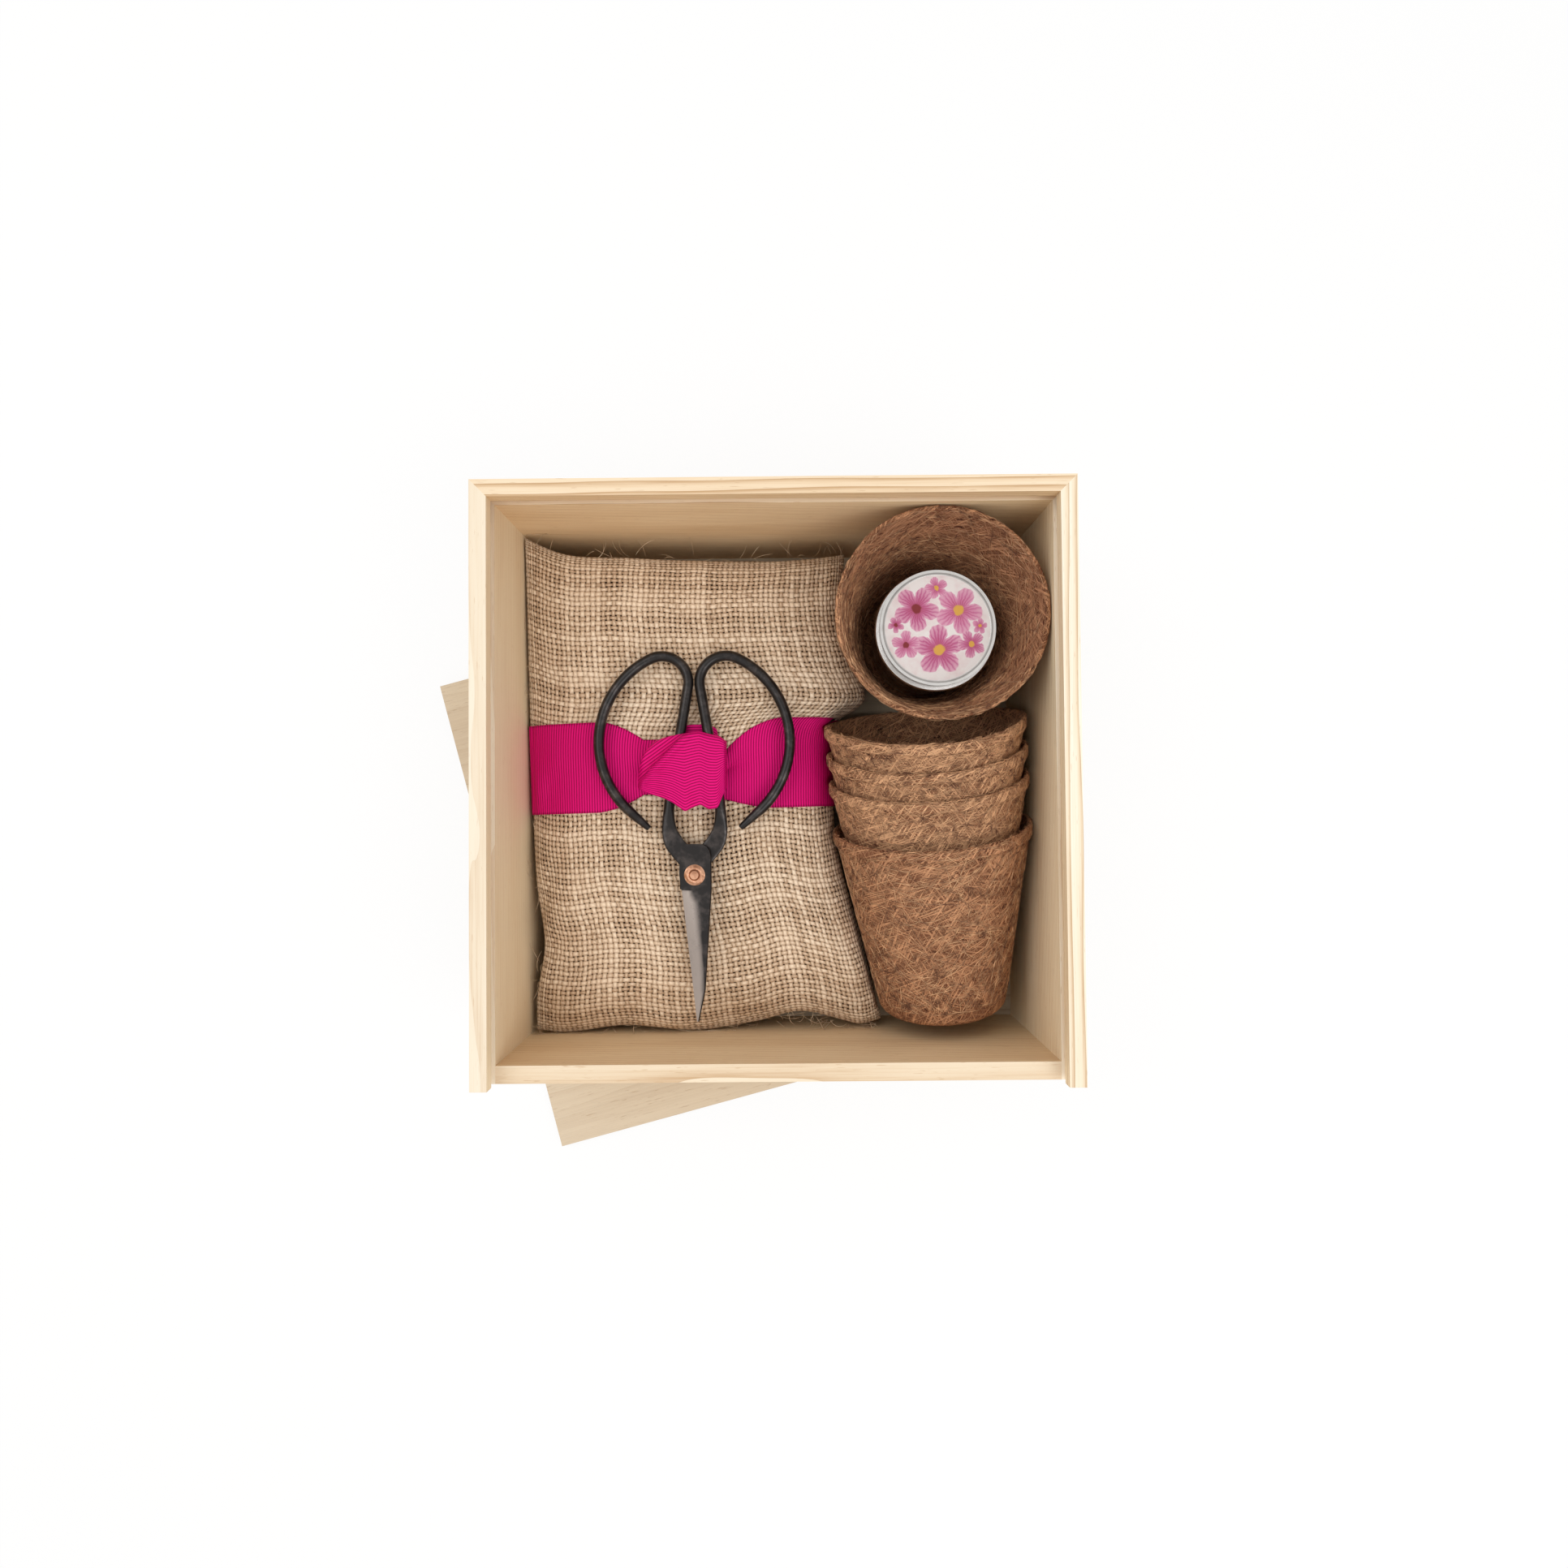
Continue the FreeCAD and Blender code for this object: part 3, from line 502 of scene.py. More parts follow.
@dataclass(frozen=True)
class Coir(Finish):
    """Pressed coconut fibre."""

    dark: Colour = (0.060, 0.020, 0.011)
    middle: Colour = (0.25, 0.097, 0.047)
    pale: Colour = (0.62, 0.315, 0.165)

    def paint(self, graph: Skin) -> None:
        """Lay out the finish."""
        cloth = graph.cloth()
        fibre = graph.effect(fibre_effect(), Cloth=cloth)
        tone = graph.times(fibre["Cloud"], 0.46)
        tone = graph.scaled(fibre["Strands"], 0.66, tone)
        tone = graph.less(tone, graph.times(fibre["Flecks"], 0.5), clamp=True)
        colour = graph.ramp(tone, (0.04, self.dark), (0.34, self.middle), (0.82, self.pale))
        graph.wear("Base Color", colour)
        graph.wear("Roughness", graph.fit(tone, 0.0, 1.0, 0.95, 0.78))
        relief = graph.less(fibre["Strands"], graph.times(fibre["Flecks"], 0.6))
        graph.wear("Normal", graph.bump(relief, 0.0006, 0.9))
        graph.wear("Specular IOR Level", 0.2)


@dataclass(frozen=True)
class Strand(Finish):
    """Single loose plant fibres."""

    pale: Colour
    dark: Colour

    def paint(self, graph: Skin) -> None:
        """Lay out the finish."""
        place = graph.coords("Object")
        change = graph.noise(place, 260.0, 2.0)
        graph.wear("Base Color", graph.ramp(change, (0.35, self.dark), (0.65, self.pale)))
        graph.wear("Roughness", graph.fit(change, 0.3, 0.7, 0.85, 0.6))


@dataclass(frozen=True)
class ForgedSteel(Finish):
    """Oil-blackened forged steel with a bright ground edge."""

    name: str = "forged_steel"
    black: Colour = (0.011, 0.0085, 0.0083)
    worn: Colour = (0.12, 0.097, 0.09)
    ground: Colour = (0.37, 0.315, 0.285)
    scratched: Colour = (0.20, 0.17, 0.15)
    ground_end: tuple[float, float] = (-0.0465, -0.0445)

    def paint(self, graph: Skin) -> None:
        """Lay out the finish."""
        coords = graph.add("ShaderNodeTexCoord").outputs
        wear = graph.effect(wear_effect(), Place=coords["Object"], Marks=210.0)
        facing, _, upward = graph.split(coords["Normal"])
        # The ground face is nearly level, tilts to the left and lies on the blade alone
        slope = graph.fit(facing, -0.2, -0.1, 1.0, 0.0)
        level = graph.fit(upward, 0.85, 0.93)
        _, place_y, _ = graph.split(coords["Object"])
        below = graph.fit(place_y, *self.ground_end, 1.0, 0.0)
        bright = graph.times(graph.times(slope, level), below)
        colour = graph.mix(graph.times(wear["Rub"], 0.45), self.black, self.worn)
        shine = graph.mix(graph.times(wear["Scratch"], 0.18), self.ground, self.scratched)
        colour = graph.mix(bright, colour, shine)
        graph.wear("Base Color", colour)
        graph.wear("Metallic", graph.scaled(bright, 0.25, 0.6))
        rough = graph.less(0.40, graph.times(wear["Rub"], 0.16))
        rough = graph.less(rough, graph.times(bright, 0.04))
        graph.wear("Roughness", rough)
        graph.wear("Coat Weight", 0.25)
        graph.wear("Coat Roughness", 0.14)
        dents = graph.times(wear["Dents"], graph.less(1.0, bright))
        graph.wear("Normal", graph.bump(dents, 0.0003, 0.4))


@dataclass(frozen=True)
class WarmMetal(Finish):
    """Hammered copper or plain bright steel."""

    clean: Colour
    dull: Colour
    marks: float = 620.0
    rough: float = 0.34

    def paint(self, graph: Skin) -> None:
        """Lay out the finish."""
        place = graph.coords("Object")
        wear = graph.effect(wear_effect(), Place=place, Marks=self.marks)
        colour = graph.mix(wear["Rub"], self.clean, self.dull)
        graph.wear("Base Color", colour)
        graph.wear("Metallic", 1.0)
        graph.wear("Roughness", graph.scaled(wear["Rub"], 0.18, self.rough))
        graph.wear("Normal", graph.bump(wear["Dents"], 0.0006, 0.6))


@dataclass(frozen=True)
class Tinplate(Finish):
    """Bright pressed tinplate, brushed round the tin's own axis."""

    centre: Place
    disc: float
    clean: Colour = (0.80, 0.79, 0.78)
    dull: Colour = (0.30, 0.28, 0.27)

    def paint(self, graph: Skin) -> None:
        """Lay out the finish."""
        place = graph.coords("Object")
        local = graph.vector("SUBTRACT", place, self.centre)
        wear = graph.effect(wear_effect(), Place=place, Marks=90.0)
        x, y, z = graph.split(local)
        radius = graph.length(x, y)
        # Fine lines round the axis, which change slowly along their run
        fine, slow = 5200.0, 60.0
        often = ((radius, fine), (z, fine), (x, slow))
        lines = [graph.times(part, change) for part, change in often]
        turning = graph.noise(graph.combine(*lines), 1.0)
        share = graph.scaled(wear["Rub"], 0.15, graph.times(turning, 0.25))
        # A dark ring just outside the disc: its joint with the lid, deepened with painted shade
        seam = graph.size(graph.less(radius, self.disc + 0.0007))
        share = graph.plus(share, graph.fit(seam, 0.0002, 0.0006, 0.7, 0.0), clamp=True)
        graph.wear("Base Color", graph.mix(share, self.clean, self.dull))
        graph.wear("Metallic", 1.0)
        graph.wear("Roughness", graph.fit(turning, 0.25, 0.75, 0.18, 0.32))
        graph.wear("Normal", graph.bump(turning, 0.00004, 0.5))


@dataclass(frozen=True)
class PrintedDisc(Finish):
    """Varnished paper disc with a loose spray of blossoms in print."""

    centre: Place
    paper: Colour = (0.83, 0.79, 0.78)
    tint: Colour = (0.76, 0.62, 0.63)
    inner: Colour = (0.40, 0.045, 0.10)
    outer: Colour = (0.74, 0.40, 0.53)
    petals: tuple[Colour, Colour] = ((0.52, 0.11, 0.27), (0.60, 0.17, 0.34))
    hearts: tuple[Colour, Colour] = ((0.22, 0.010, 0.016), (0.70, 0.38, 0.06))
    sprays: tuple[tuple[float, float, float, float], ...] = (
        (-9.3, 8.4, 10.4, 0.2), (9.2, 7.6, 10.8, 1.4), (0.4, -9.6, 11.6, 0.9), (-14.0, -7.4, 6.6, 2.2),
        (14.6, -7.2, 6.4, 0.5), (-0.4, 17.4, 5.2, 1.9), (-18.2, 1.4, 3.8, 0.4), (18.3, 0.6, 3.6, 1.1))

    def paint(self, graph: Skin) -> None:
        """Lay out the finish."""
        place = graph.coords("Object")
        local = graph.vector("SUBTRACT", place, self.centre)
        feeds = {"Vector": local, "Scale": 420.0, "Detail": 2.0}
        sway = graph.add("ShaderNodeTexNoise", feeds).outputs["Color"]
        unsteady = graph.vector("SUBTRACT", sway, (0.5, 0.5, 0.5))
        drawn = graph.vector("ADD", local, graph.vector("MULTIPLY", unsteady, (0.0016, 0.0016, 0.0)))
        wash = graph.noise(local, 170.0, 3.0)
        colour = graph.ramp(wash, (0.45, self.paper), (0.75, self.tint))
        for number, (across, up, size, turn) in enumerate(self.sprays):
            bloom = graph.effect(blossom_effect(), Place=drawn, Across=across * MM, Up=up * MM,
                                 Size=size * MM, Turn=turn)
            petal = graph.ramp(bloom["Shade"], (0.15, self.inner), (0.55, self.petals[number % 2]),
                               (0.95, self.outer))
            colour = graph.mix(bloom["Petals"], colour, petal)
            # Every third blossom has the dark heart
            colour = graph.mix(bloom["Eye"], colour, self.hearts[min(number % 3, 1)])
        graph.wear("Base Color", colour)
        graph.wear("Roughness", graph.fit(wash, 0.3, 0.7, 0.34, 0.44))


@dataclass(frozen=True)
class Crumb(Finish):
    """Loose compost or seed."""

    pale: Colour
    dark: Colour
    scale: float

    def paint(self, graph: Skin) -> None:
        """Lay out the finish."""
        place = graph.coords("Object")
        cells = graph.add("ShaderNodeTexVoronoi", {"Vector": place, "Scale": self.scale}).outputs[0]
        change = graph.noise(place, self.scale * 0.4, 3.0)
        graph.wear("Base Color", graph.ramp(change, (0.35, self.dark), (0.7, self.pale)))
        graph.wear("Roughness", graph.fit(cells, 0.0, 0.8, 0.7, 0.95))
        graph.wear("Normal", graph.bump(cells, 0.001, 0.8))


# Mesh tools

def ease(share: np.ndarray) -> np.ndarray:
    """Share from 0 to 1 that starts and ends gently."""
    return share * share * (3.0 - 2.0 * share)


def ramp(values: np.ndarray, start: float, span: float) -> np.ndarray:
    """Share from 0 to 1 of a span that begins at a start."""
    return np.clip((values - start) / span, 0.0, 1.0)


def swollen(share: np.ndarray, square: np.ndarray | float) -> np.ndarray:
    """Height from 0 to 1 across a swollen section, which is flatter the squarer it is."""
    return (1 - np.abs(2 * share - 1) ** square) ** 0.5


def run_along(points: np.ndarray) -> np.ndarray:
    """Distance of each point along a line of points."""
    return np.concatenate([[0.0], np.cumsum(np.linalg.norm(np.diff(points, axis=0), axis=1))])


def unit(vectors: np.ndarray) -> np.ndarray:
    """Vectors brought to a length of one."""
    return vectors / np.maximum(np.linalg.norm(vectors, axis=-1, keepdims=True), 1e-12)


def read_points(piece: Object) -> np.ndarray:
    """Vertex places of a piece."""
    return np.array([vertex.co for vertex in piece.data.vertices])


def write_points(piece: Object, points: np.ndarray) -> None:
    """Move the vertices of a piece."""
    piece.data.vertices.foreach_set("co", points.astype(np.float32).ravel())


def capped(net: np.ndarray) -> np.ndarray:
    """Net of a tube with both ends drawn together at their middles."""
    first, last = (np.broadcast_to(net[end].mean(axis=0), net[end].shape)[None] for end in (0, -1))
    return np.concatenate([first, net, last])


class Lumps:
    """Smooth seeded noise that shapes meshes, from a lattice that repeats."""

    SIDE = 24

    def __init__(self, seed: int) -> None:
        """Draw the lattice of values."""
        self.values = np.random.default_rng(seed).uniform(-1.0, 1.0, (self.SIDE,) * 3)

    def at(self, points: np.ndarray, wave: float) -> np.ndarray:
        """Read the noise.

        Args:
            points: Places in metres, on the last axis.
            wave: Length of one lump in metres.

        Returns:
            Values from -1 to 1.
        """
        cells = points / wave
        base = np.floor(cells).astype(int)
        part = ease(cells - base)
        total = np.zeros(points.shape[:-1])
        for corner in itertools.product((0, 1), repeat=3):
            weight = np.prod(np.where(np.array(corner) == 1, part, 1.0 - part), axis=-1)
            index = (base + np.array(corner)) % self.SIDE
            total += weight * self.values[index[..., 0], index[..., 1], index[..., 2]]
        return total


def smooth_line(points: tuple[Point, ...], shares: np.ndarray) -> np.ndarray:
    """Smooth curve through plan points.

    Args:
        points: Plan points in millimetres.
        shares: Shares of the curve's length to read.

    Returns:
        Plan points in metres, one for each share.
    """
    knots = np.array(points, float) * MM
    chord = run_along(knots)
    chord /= chord[-1]
    slopes = np.gradient(knots, chord, axis=0)
    index = np.clip(np.searchsorted(chord, shares, "right") - 1, 0, len(knots) - 2)
    span = (chord[index + 1] - chord[index])[:, None]
    t = (shares - chord[index])[:, None] / span
    return ((2 * t**3 - 3 * t**2 + 1) * knots[index] + (t**3 - 2 * t**2 + t) * span * slopes[index]
            + (3 * t**2 - 2 * t**3) * knots[index + 1] + (t**3 - t**2) * span * slopes[index + 1])


def make_object(name: str, points: np.ndarray, faces: np.ndarray,
                cloth: np.ndarray | None = None) -> Object:
    """Make a smooth mesh object.

    Args:
        name: Name of the piece.
        points: Vertex places in metres.
        faces: Vertex numbers of each face.
        cloth: Cloth coordinates of each face corner, in metres.

    Returns:
        The object, linked into the scene.
    """
    mesh = bpy.data.meshes.new(name)
    mesh.from_pydata(points.reshape(-1, 3).tolist(), [], faces.tolist())
    mesh.polygons.foreach_set("use_smooth", np.ones(len(mesh.polygons), bool))
    if cloth is not None:
        layer = mesh.uv_layers.new(name="Cloth")
        layer.data.foreach_set("uv", np.ascontiguousarray(cloth, np.float32).ravel())
    mesh.update()
    piece = bpy.data.objects.new(name, mesh)
    bpy.context.scene.collection.objects.link(piece)
    return piece


def net_faces(rows: int, columns: int, closed: bool = False) -> tuple[np.ndarray, np.ndarray]:
    """Faces of a net of points.

    Args:
        rows: Number of rows of points.
        columns: Number of points in a row.
        closed: Whether each row joins up with its own start.

    Returns:
        Vertex numbers of each face, and the row and column of each corner before any row joins up.
    """
    wide = columns if closed else columns - 1
    row, column = np.meshgrid(np.arange(rows - 1), np.arange(wide), indexing="ij")
    around = ((0, 0), (0, 1), (1, 1), (1, 0))
    corners = np.stack([np.stack([row + dr, column + dc], -1) for dr, dc in around], 2).reshape(-1, 4, 2)
    return corners[..., 0] * columns + corners[..., 1] % columns, corners


def net_normals(net: np.ndarray) -> np.ndarray:
    """Unit normals of a net of points."""
    return unit(np.cross(np.gradient(net, axis=1), np.gradient(net, axis=0)))


def make_strands(name: str, lines: np.ndarray, radius: np.ndarray) -> Object:
    """Make many thin three-sided fibres in one mesh.

    Args:
        name: Name of the piece.
        lines: Points along each fibre, in metres.
        radius: Radius of each fibre.

    Returns:
        The object.
    """
    count, steps, _ = lines.shape
    way = unit(np.gradient(lines, axis=1))
    # Any direction that no fibre is likely to follow
    side = unit(np.cross(way, np.array([0.31, 0.47, 0.83])))
    other = np.cross(way, side)
    taper = 0.35 + 0.65 * np.sin(np.linspace(0.15, math.pi - 0.15, steps))
    thin = radius[:, None, None] * taper[None, :, None]
    thirds = (0.0, 2.094, 4.189)
    ring = [lines + thin * (side * math.cos(turn) + other * math.sin(turn)) for turn in thirds]
    points = np.stack(ring, 2)
    faces, _ = net_faces(steps, 3, closed=True)
    everything = (faces[None] + (np.arange(count) * steps * 3)[:, None, None]).reshape(-1, 4)
    return make_object(name, points, everything)


def wear_finish(piece: Object, *materials: Material) -> None:
    """Give a piece its materials."""
    piece.data.materials.clear()
    for material in materials:
        piece.data.materials.append(material)


# Sub-assemblies

class PineBox:
    """Pine walls, plywood floor and the sliding lid laid under the box."""

    def dress(self) -> None:
        """Give every board its own cut of wood, and the brads their steel."""
        boards = {
            "left_wall": Wood("pine_left", Along.Y, (0.87, 0.785, 0.645), (0.82, 0.70, 0.54),
                              (0.65, 0.47, 0.31), 0.0024, rings=0.42, cut=(0.3, 0.05, 0.02)),
            "right_wall": Wood("pine_right", Along.Y, (0.94, 0.87, 0.74), (0.87, 0.74, 0.56),
                               (0.60, 0.41, 0.245), 0.0016, rings=0.75, cut=(0.9, -0.02, 0.06)),
            "back_wall": Wood("pine_back", Along.X, pitch=0.0014, rings=0.8, cut=(1.7, -0.04, 0.03)),
            "front_wall": Wood("pine_front", Along.X, (0.86, 0.74, 0.57), (0.77, 0.61, 0.43),
                               pitch=0.0021, rings=0.65, cut=(2.6, 0.06, 0.05)),
            # The floor's plywood is darkened with painted shade, for the gap where it shows between the bag
            # and the pots
            "floor_panel": Wood("plywood_floor_painted_shade", Along.X, (0.54, 0.45, 0.335),
                                (0.47, 0.375, 0.265), (0.34, 0.24, 0.15), 0.006, 3.0, 0.35,
                                (3.1, 0.2, 0.1)),
            "sliding_lid": Wood("plywood_lid", Along.TURNED, (0.68, 0.57, 0.43),
                                (0.61, 0.495, 0.365), (0.43, 0.30, 0.19), 0.008, 4.0, 0.3,
                                (4.2, 0.3, 0.2)),
        }
        for node, wood in boards.items():
            wear_finish(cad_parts[node], wood.material())
            LOG.info("%s: %s", node, wood.name)
        brads = WarmMetal("brad_steel", (0.62, 0.62, 0.61), (0.35, 0.34, 0.33), 900.0, 0.3)
        wear_finish(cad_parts["corner_brads"], brads.material())


@dataclass
class HessianBag:
    """Filled hessian bag: two sheets sewn together round the edge and swollen by the compost.

    Edges and heights are in millimetres. The limits, which keep the cloth clear of what lies beside it, are
    in metres.
    """

    columns: int = 64
    rows: int = 90
    crown: float = 59.4
    underside: float = 10.4
    top_limit: float = 62.9
    seam_heights: tuple[float, float, float, float] = (42.0, 33.0, 40.0, 54.0)
    left: tuple[Point, ...] = (
        (-110.6, -110.8), (-110.4, -97.0), (-106.4, -72.0), (-109.6, -44.0), (-110.8, 0.0), (-111.6, 40.0),
        (-112.0, 78.0), (-112.5, 111.8))
    right: tuple[Point, ...] = (
        (47.4, -109.0), (44.6, -92.0), (35.5, -60.0), (29.0, -36.0), (26.5, -18.0), (26.0, 6.0),
        (28.0, 28.0), (41.0, 39.5), (36.0, 55.0), (31.0, 78.0), (32.0, 106.6))
    front: tuple[Point, ...] = (
        (-110.6, -110.8), (-100.0, -112.3), (-72.0, -109.6), (-34.0, -112.4), (-10.0, -109.0),
        (11.0, -104.6), (28.0, -108.8), (38.0, -111.2), (47.4, -109.0))
    back: tuple[Point, ...] = (
        (-112.5, 111.8), (-98.0, 105.6), (-65.0, 103.6), (-20.5, 102.6), (5.0, 103.2), (18.0, 104.4),
        (32.0, 106.6))
    swell: float = 4.5
    width: float = 0.145
    length: float = 0.22
    rise: float = 0.024
    sides: Point = (-0.1127, 0.05)
    ends: Point = (-0.1124, 0.1126)
    floor: float = 0.0098
    pot_room: float = 0.0016
    past_rim: float = 0.0018
    washer_reach: float = 0.014
    washer_level: float = 0.0617
    flattening: float = 0.003

    def spread(self, count: int, width: float, power: float) -> tuple[np.ndarray, np.ndarray]:
        """Shares that divide a swollen section evenly.

        Args:
            count: Number of points across the section.
            width: Plan width of the section in metres.
            power: How square the section is.

        Returns:
            Plan share of each point, and its distance along the cloth in metres.
        """
        fine = np.linspace(0.0, 1.0, 2001)
        length = run_along(np.stack([fine * width, swollen(fine, power) * self.rise], -1))
        even = np.linspace(0.0, length[-1], count)
        return np.interp(even, length, fine), even

    def between(self, u: np.ndarray, v: np.ndarray, corners: tuple[np.ndarray | float, ...]) -> np.ndarray:
        """Values between those at the front left, front right, back right and back left corners."""
        weights = ((1 - u) * (1 - v), u * (1 - v), u * v, (1 - u) * v)
        return sum(weight * corner for weight, corner in zip(weights, corners))

    def plan(self, s: np.ndarray, t: np.ndarray) -> np.ndarray:
        """Plan places of a net stretched between the four edges."""
        left, right = smooth_line(self.left, t)[:, None], smooth_line(self.right, t)[:, None]
        front, back = smooth_line(self.front, s)[None], smooth_line(self.back, s)[None]
        u, v = s[None, :, None], t[:, None, None]
        corners = self.between(u, v, (left[0], right[0], right[-1], left[-1]))
        return (1 - u) * left + u * right + (1 - v) * front + v * back - corners

    def build(self, pots: "PotSet") -> Object:
        """Build the bag, swell it and keep its two sheets for the ribbon to follow.

        Args:
            pots: The pots that the bag lies against.

        Returns:
            The bag.
        """
        s, along = self.spread(self.columns, self.width, 6.0)
        t, across = self.spread(self.rows, self.length, 8.0)
        flat = self.plan(s, t)
        u, v = s[None, :], t[:, None]
        # The top falls steeply beside the pots and slowly towards the left wall
        pillow = swollen(u, np.where(u > 0.5, 5.6, 2.9)) * swollen(v, 3.0)
        seam = self.between(u, v, tuple(height * MM for height in self.seam_heights))
        lumps = Lumps(5)
        near = np.minimum(np.minimum(u, 1 - u) * self.width, np.minimum(v, 1 - v) * self.length)
        place = np.concatenate([flat, np.zeros((*flat.shape[:2], 1))], -1)
        # Puckers run beside the seam, and are weak at the back left corner, which stands up smooth
        reach, hem, pucker_height, fold_height = 0.011, 0.003, 0.0052, 0.0016
        calm = 1.0 - 0.8 * np.clip(1.6 * (1 - u) * v - 0.6, 0.0, 1.0)
        pucker = calm * np.exp(-near / reach) * (1 - np.exp(-near / hem)) * lumps.at(place, 0.012)
        folds = lumps.at(place + 0.5, 0.034) * 0.5 + lumps.at(place * (1.0, 2.6, 1.0), 0.05) * 0.5
        top = seam + (self.crown * MM - seam) * pillow
        top = top + pucker * pucker_height + folds * fold_height * pillow
        bottom = seam - (seam - self.underside * MM) * swollen(u, 7) * swollen(v, 7)
        upper = np.concatenate([flat, top[..., None]], -1)
        lower = np.concatenate([flat, bottom[..., None]], -1)
        piece = self.sew(upper, lower, along, across)
        self.inflate(piece)
        self.settle(piece, pots)
        return piece

    def sew(self, upper: np.ndarray, lower: np.ndarray, along: np.ndarray,
            across: np.ndarray) -> Object:
        """Join the two sheets along their shared edge.

        Args:
            upper: Net of the top sheet.
            lower: Net of the bottom sheet.
            along: Cloth distance of each column.
            across: Cloth distance of each row.

        Returns:
            The closed bag.
        """
        rows, columns = upper.shape[:2]
        self.upper_index = np.arange(rows * columns).reshape(rows, columns)
        self.lower_index = self.upper_index.copy()
        inner = (rows - 2) * (columns - 2)
        self.lower_index[1:-1, 1:-1] = rows * columns + np.arange(inner).reshape(rows - 2, columns - 2)
        points = np.concatenate([upper.reshape(-1, 3), lower[1:-1, 1:-1].reshape(-1, 3)])
        _, corners = net_faces(rows, columns)
        cloth = np.stack([along[corners[..., 1]], across[corners[..., 0]]], -1)
        over = self.upper_index[corners[..., 0], corners[..., 1]]
        under = self.lower_index[corners[..., 0], corners[..., 1]][:, ::-1]
        uv = np.concatenate([cloth, cloth[:, ::-1]]).reshape(-1, 2)
        return make_object("hessian_bag_cloth", points, np.concatenate([over, under]), uv)

    def inflate(self, piece: Object) -> None:
        """Swell the bag with cloth simulation under pressure, with each point's travel capped."""
        rest = read_points(piece)
        seam = piece.vertex_groups.new(name="Seam")
        net = self.upper_index
        edge = np.concatenate([net[0], net[-1], net[:, 0], net[:, -1]])
        seam.add([int(number) for number in set(edge.tolist())], 1.0, "REPLACE")
        cloth = piece.modifiers.new("Swell", "CLOTH")
        settings = cloth.settings
        settings.vertex_group_mass = "Seam"
        settings.quality = 5
        settings.mass = 0.15
        settings.use_pressure = True
        settings.uniform_pressure_force = 4.0
        settings.effector_weights.gravity = 0.0
        settings.tension_stiffness = 12.0
        settings.compression_stiffness = 9.0
        settings.shear_stiffness = 4.0
        settings.bending_stiffness = 0.4
        cloth.collision_settings.use_collision = False
        first, last = 1, 20
        cloth.point_cache.frame_start = first
        cloth.point_cache.frame_end = last
        for number in range(first, last + 1):
            bpy.context.scene.frame_set(number)
        moved = read_points(piece.evaluated_get(bpy.context.evaluated_depsgraph_get()))
        piece.modifiers.remove(cloth)
        bpy.context.scene.frame_set(first)
        shift = moved - rest
        far = np.linalg.norm(shift, axis=1, keepdims=True)
        shift *= np.minimum(1.0, self.swell * MM / np.maximum(far, 1e-9))
        write_points(piece, rest + shift)

    def settle(self, piece: Object, pots: "PotSet") -> None:
        """Hold the swollen bag between the walls, the pots, the floor and the scissors.

        Args:
            piece: The bag.
            pots: The pots that the bag lies against.
        """
        points = read_points(piece)
        pot_height, pot_radii = CoirPot.height * MM, (CoirPot.base * MM, CoirPot.rim * MM)
        for foot, way in pots.stands():
            along = (points - foot) @ way
            out = points - foot - along[:, None] * way
            far = np.maximum(np.linalg.norm(out, axis=1), 1e-9)
            room = np.interp(along, (0.0, pot_height), pot_radii) + self.pot_room
            beside = (along > -MM) & (along < pot_height + self.past_rim)
            inside = beside & (far < room) & (out[:, 0] < 0.0)
            points += np.where(inside, room / far - 1.0, 0.0)[:, None] * out
        points[:, 0] = np.clip(points[:, 0], *self.sides)
        points[:, 1] = np.clip(points[:, 1], *self.ends)
        near = np.linalg.norm(points[:, :2] - np.array(Scissors.pivot[:2]) * MM, axis=1)
        top = np.where(near < self.washer_reach, self.washer_level, self.top_limit * MM)
        bent = top - self.flattening
        over = points[:, 2] - bent
        soft = bent + self.flattening * np.tanh(over / self.flattening)
        points[:, 2] = np.maximum(np.where(over > 0.0, soft, points[:, 2]), self.floor)
        write_points(piece, points)
        piece.data.update()
        self.upper = points[self.upper_index]
        self.lower = points[self.lower_index]

    def compost(self) -> Object:
        """Build the compost, which fills the bag to just inside its cloth.

        Returns:
            The compost.
        """
        middle = (self.upper + self.lower) / 2
        heart = middle[self.rows // 2, self.columns // 2]
        nets = []
        shrink, crumbs, crumb_size = 0.90, 0.0008, 0.006
        # Each sheet, how far below it the compost lies, and what keeps that on its own side of the heart
        for sheet, below, limit in ((self.upper, 0.003, np.maximum), (self.lower, -0.002, np.minimum)):
            net = sheet[::3, ::3].copy()
            net[..., :2] = heart[:2] + (net[..., :2] - heart[:2]) * shrink
            net[..., 2] = limit(net[..., 2] - below, heart[2])
            net[..., 2] -= math.copysign(crumbs, below) * np.abs(Lumps(17).at(net, crumb_size))
            nets.append(net)
        faces, _ = net_faces(*nets[0].shape[:2])
        count = nets[0].shape[0] * nets[0].shape[1]
        points = np.concatenate([net.reshape(-1, 3) for net in nets])
        return make_object("compost_heap", points, np.concatenate([faces, faces[:, ::-1] + count]))

    def strands(self) -> Object:
        """Build the stray jute fibres along the edges and on the cloth.

        Returns:
            The fibres.
        """
        rng = np.random.default_rng(31)
        rows, columns = self.upper.shape[:2]
        front, back, sides, loose = 150, 50, 90, 420
        edge = front + back + sides
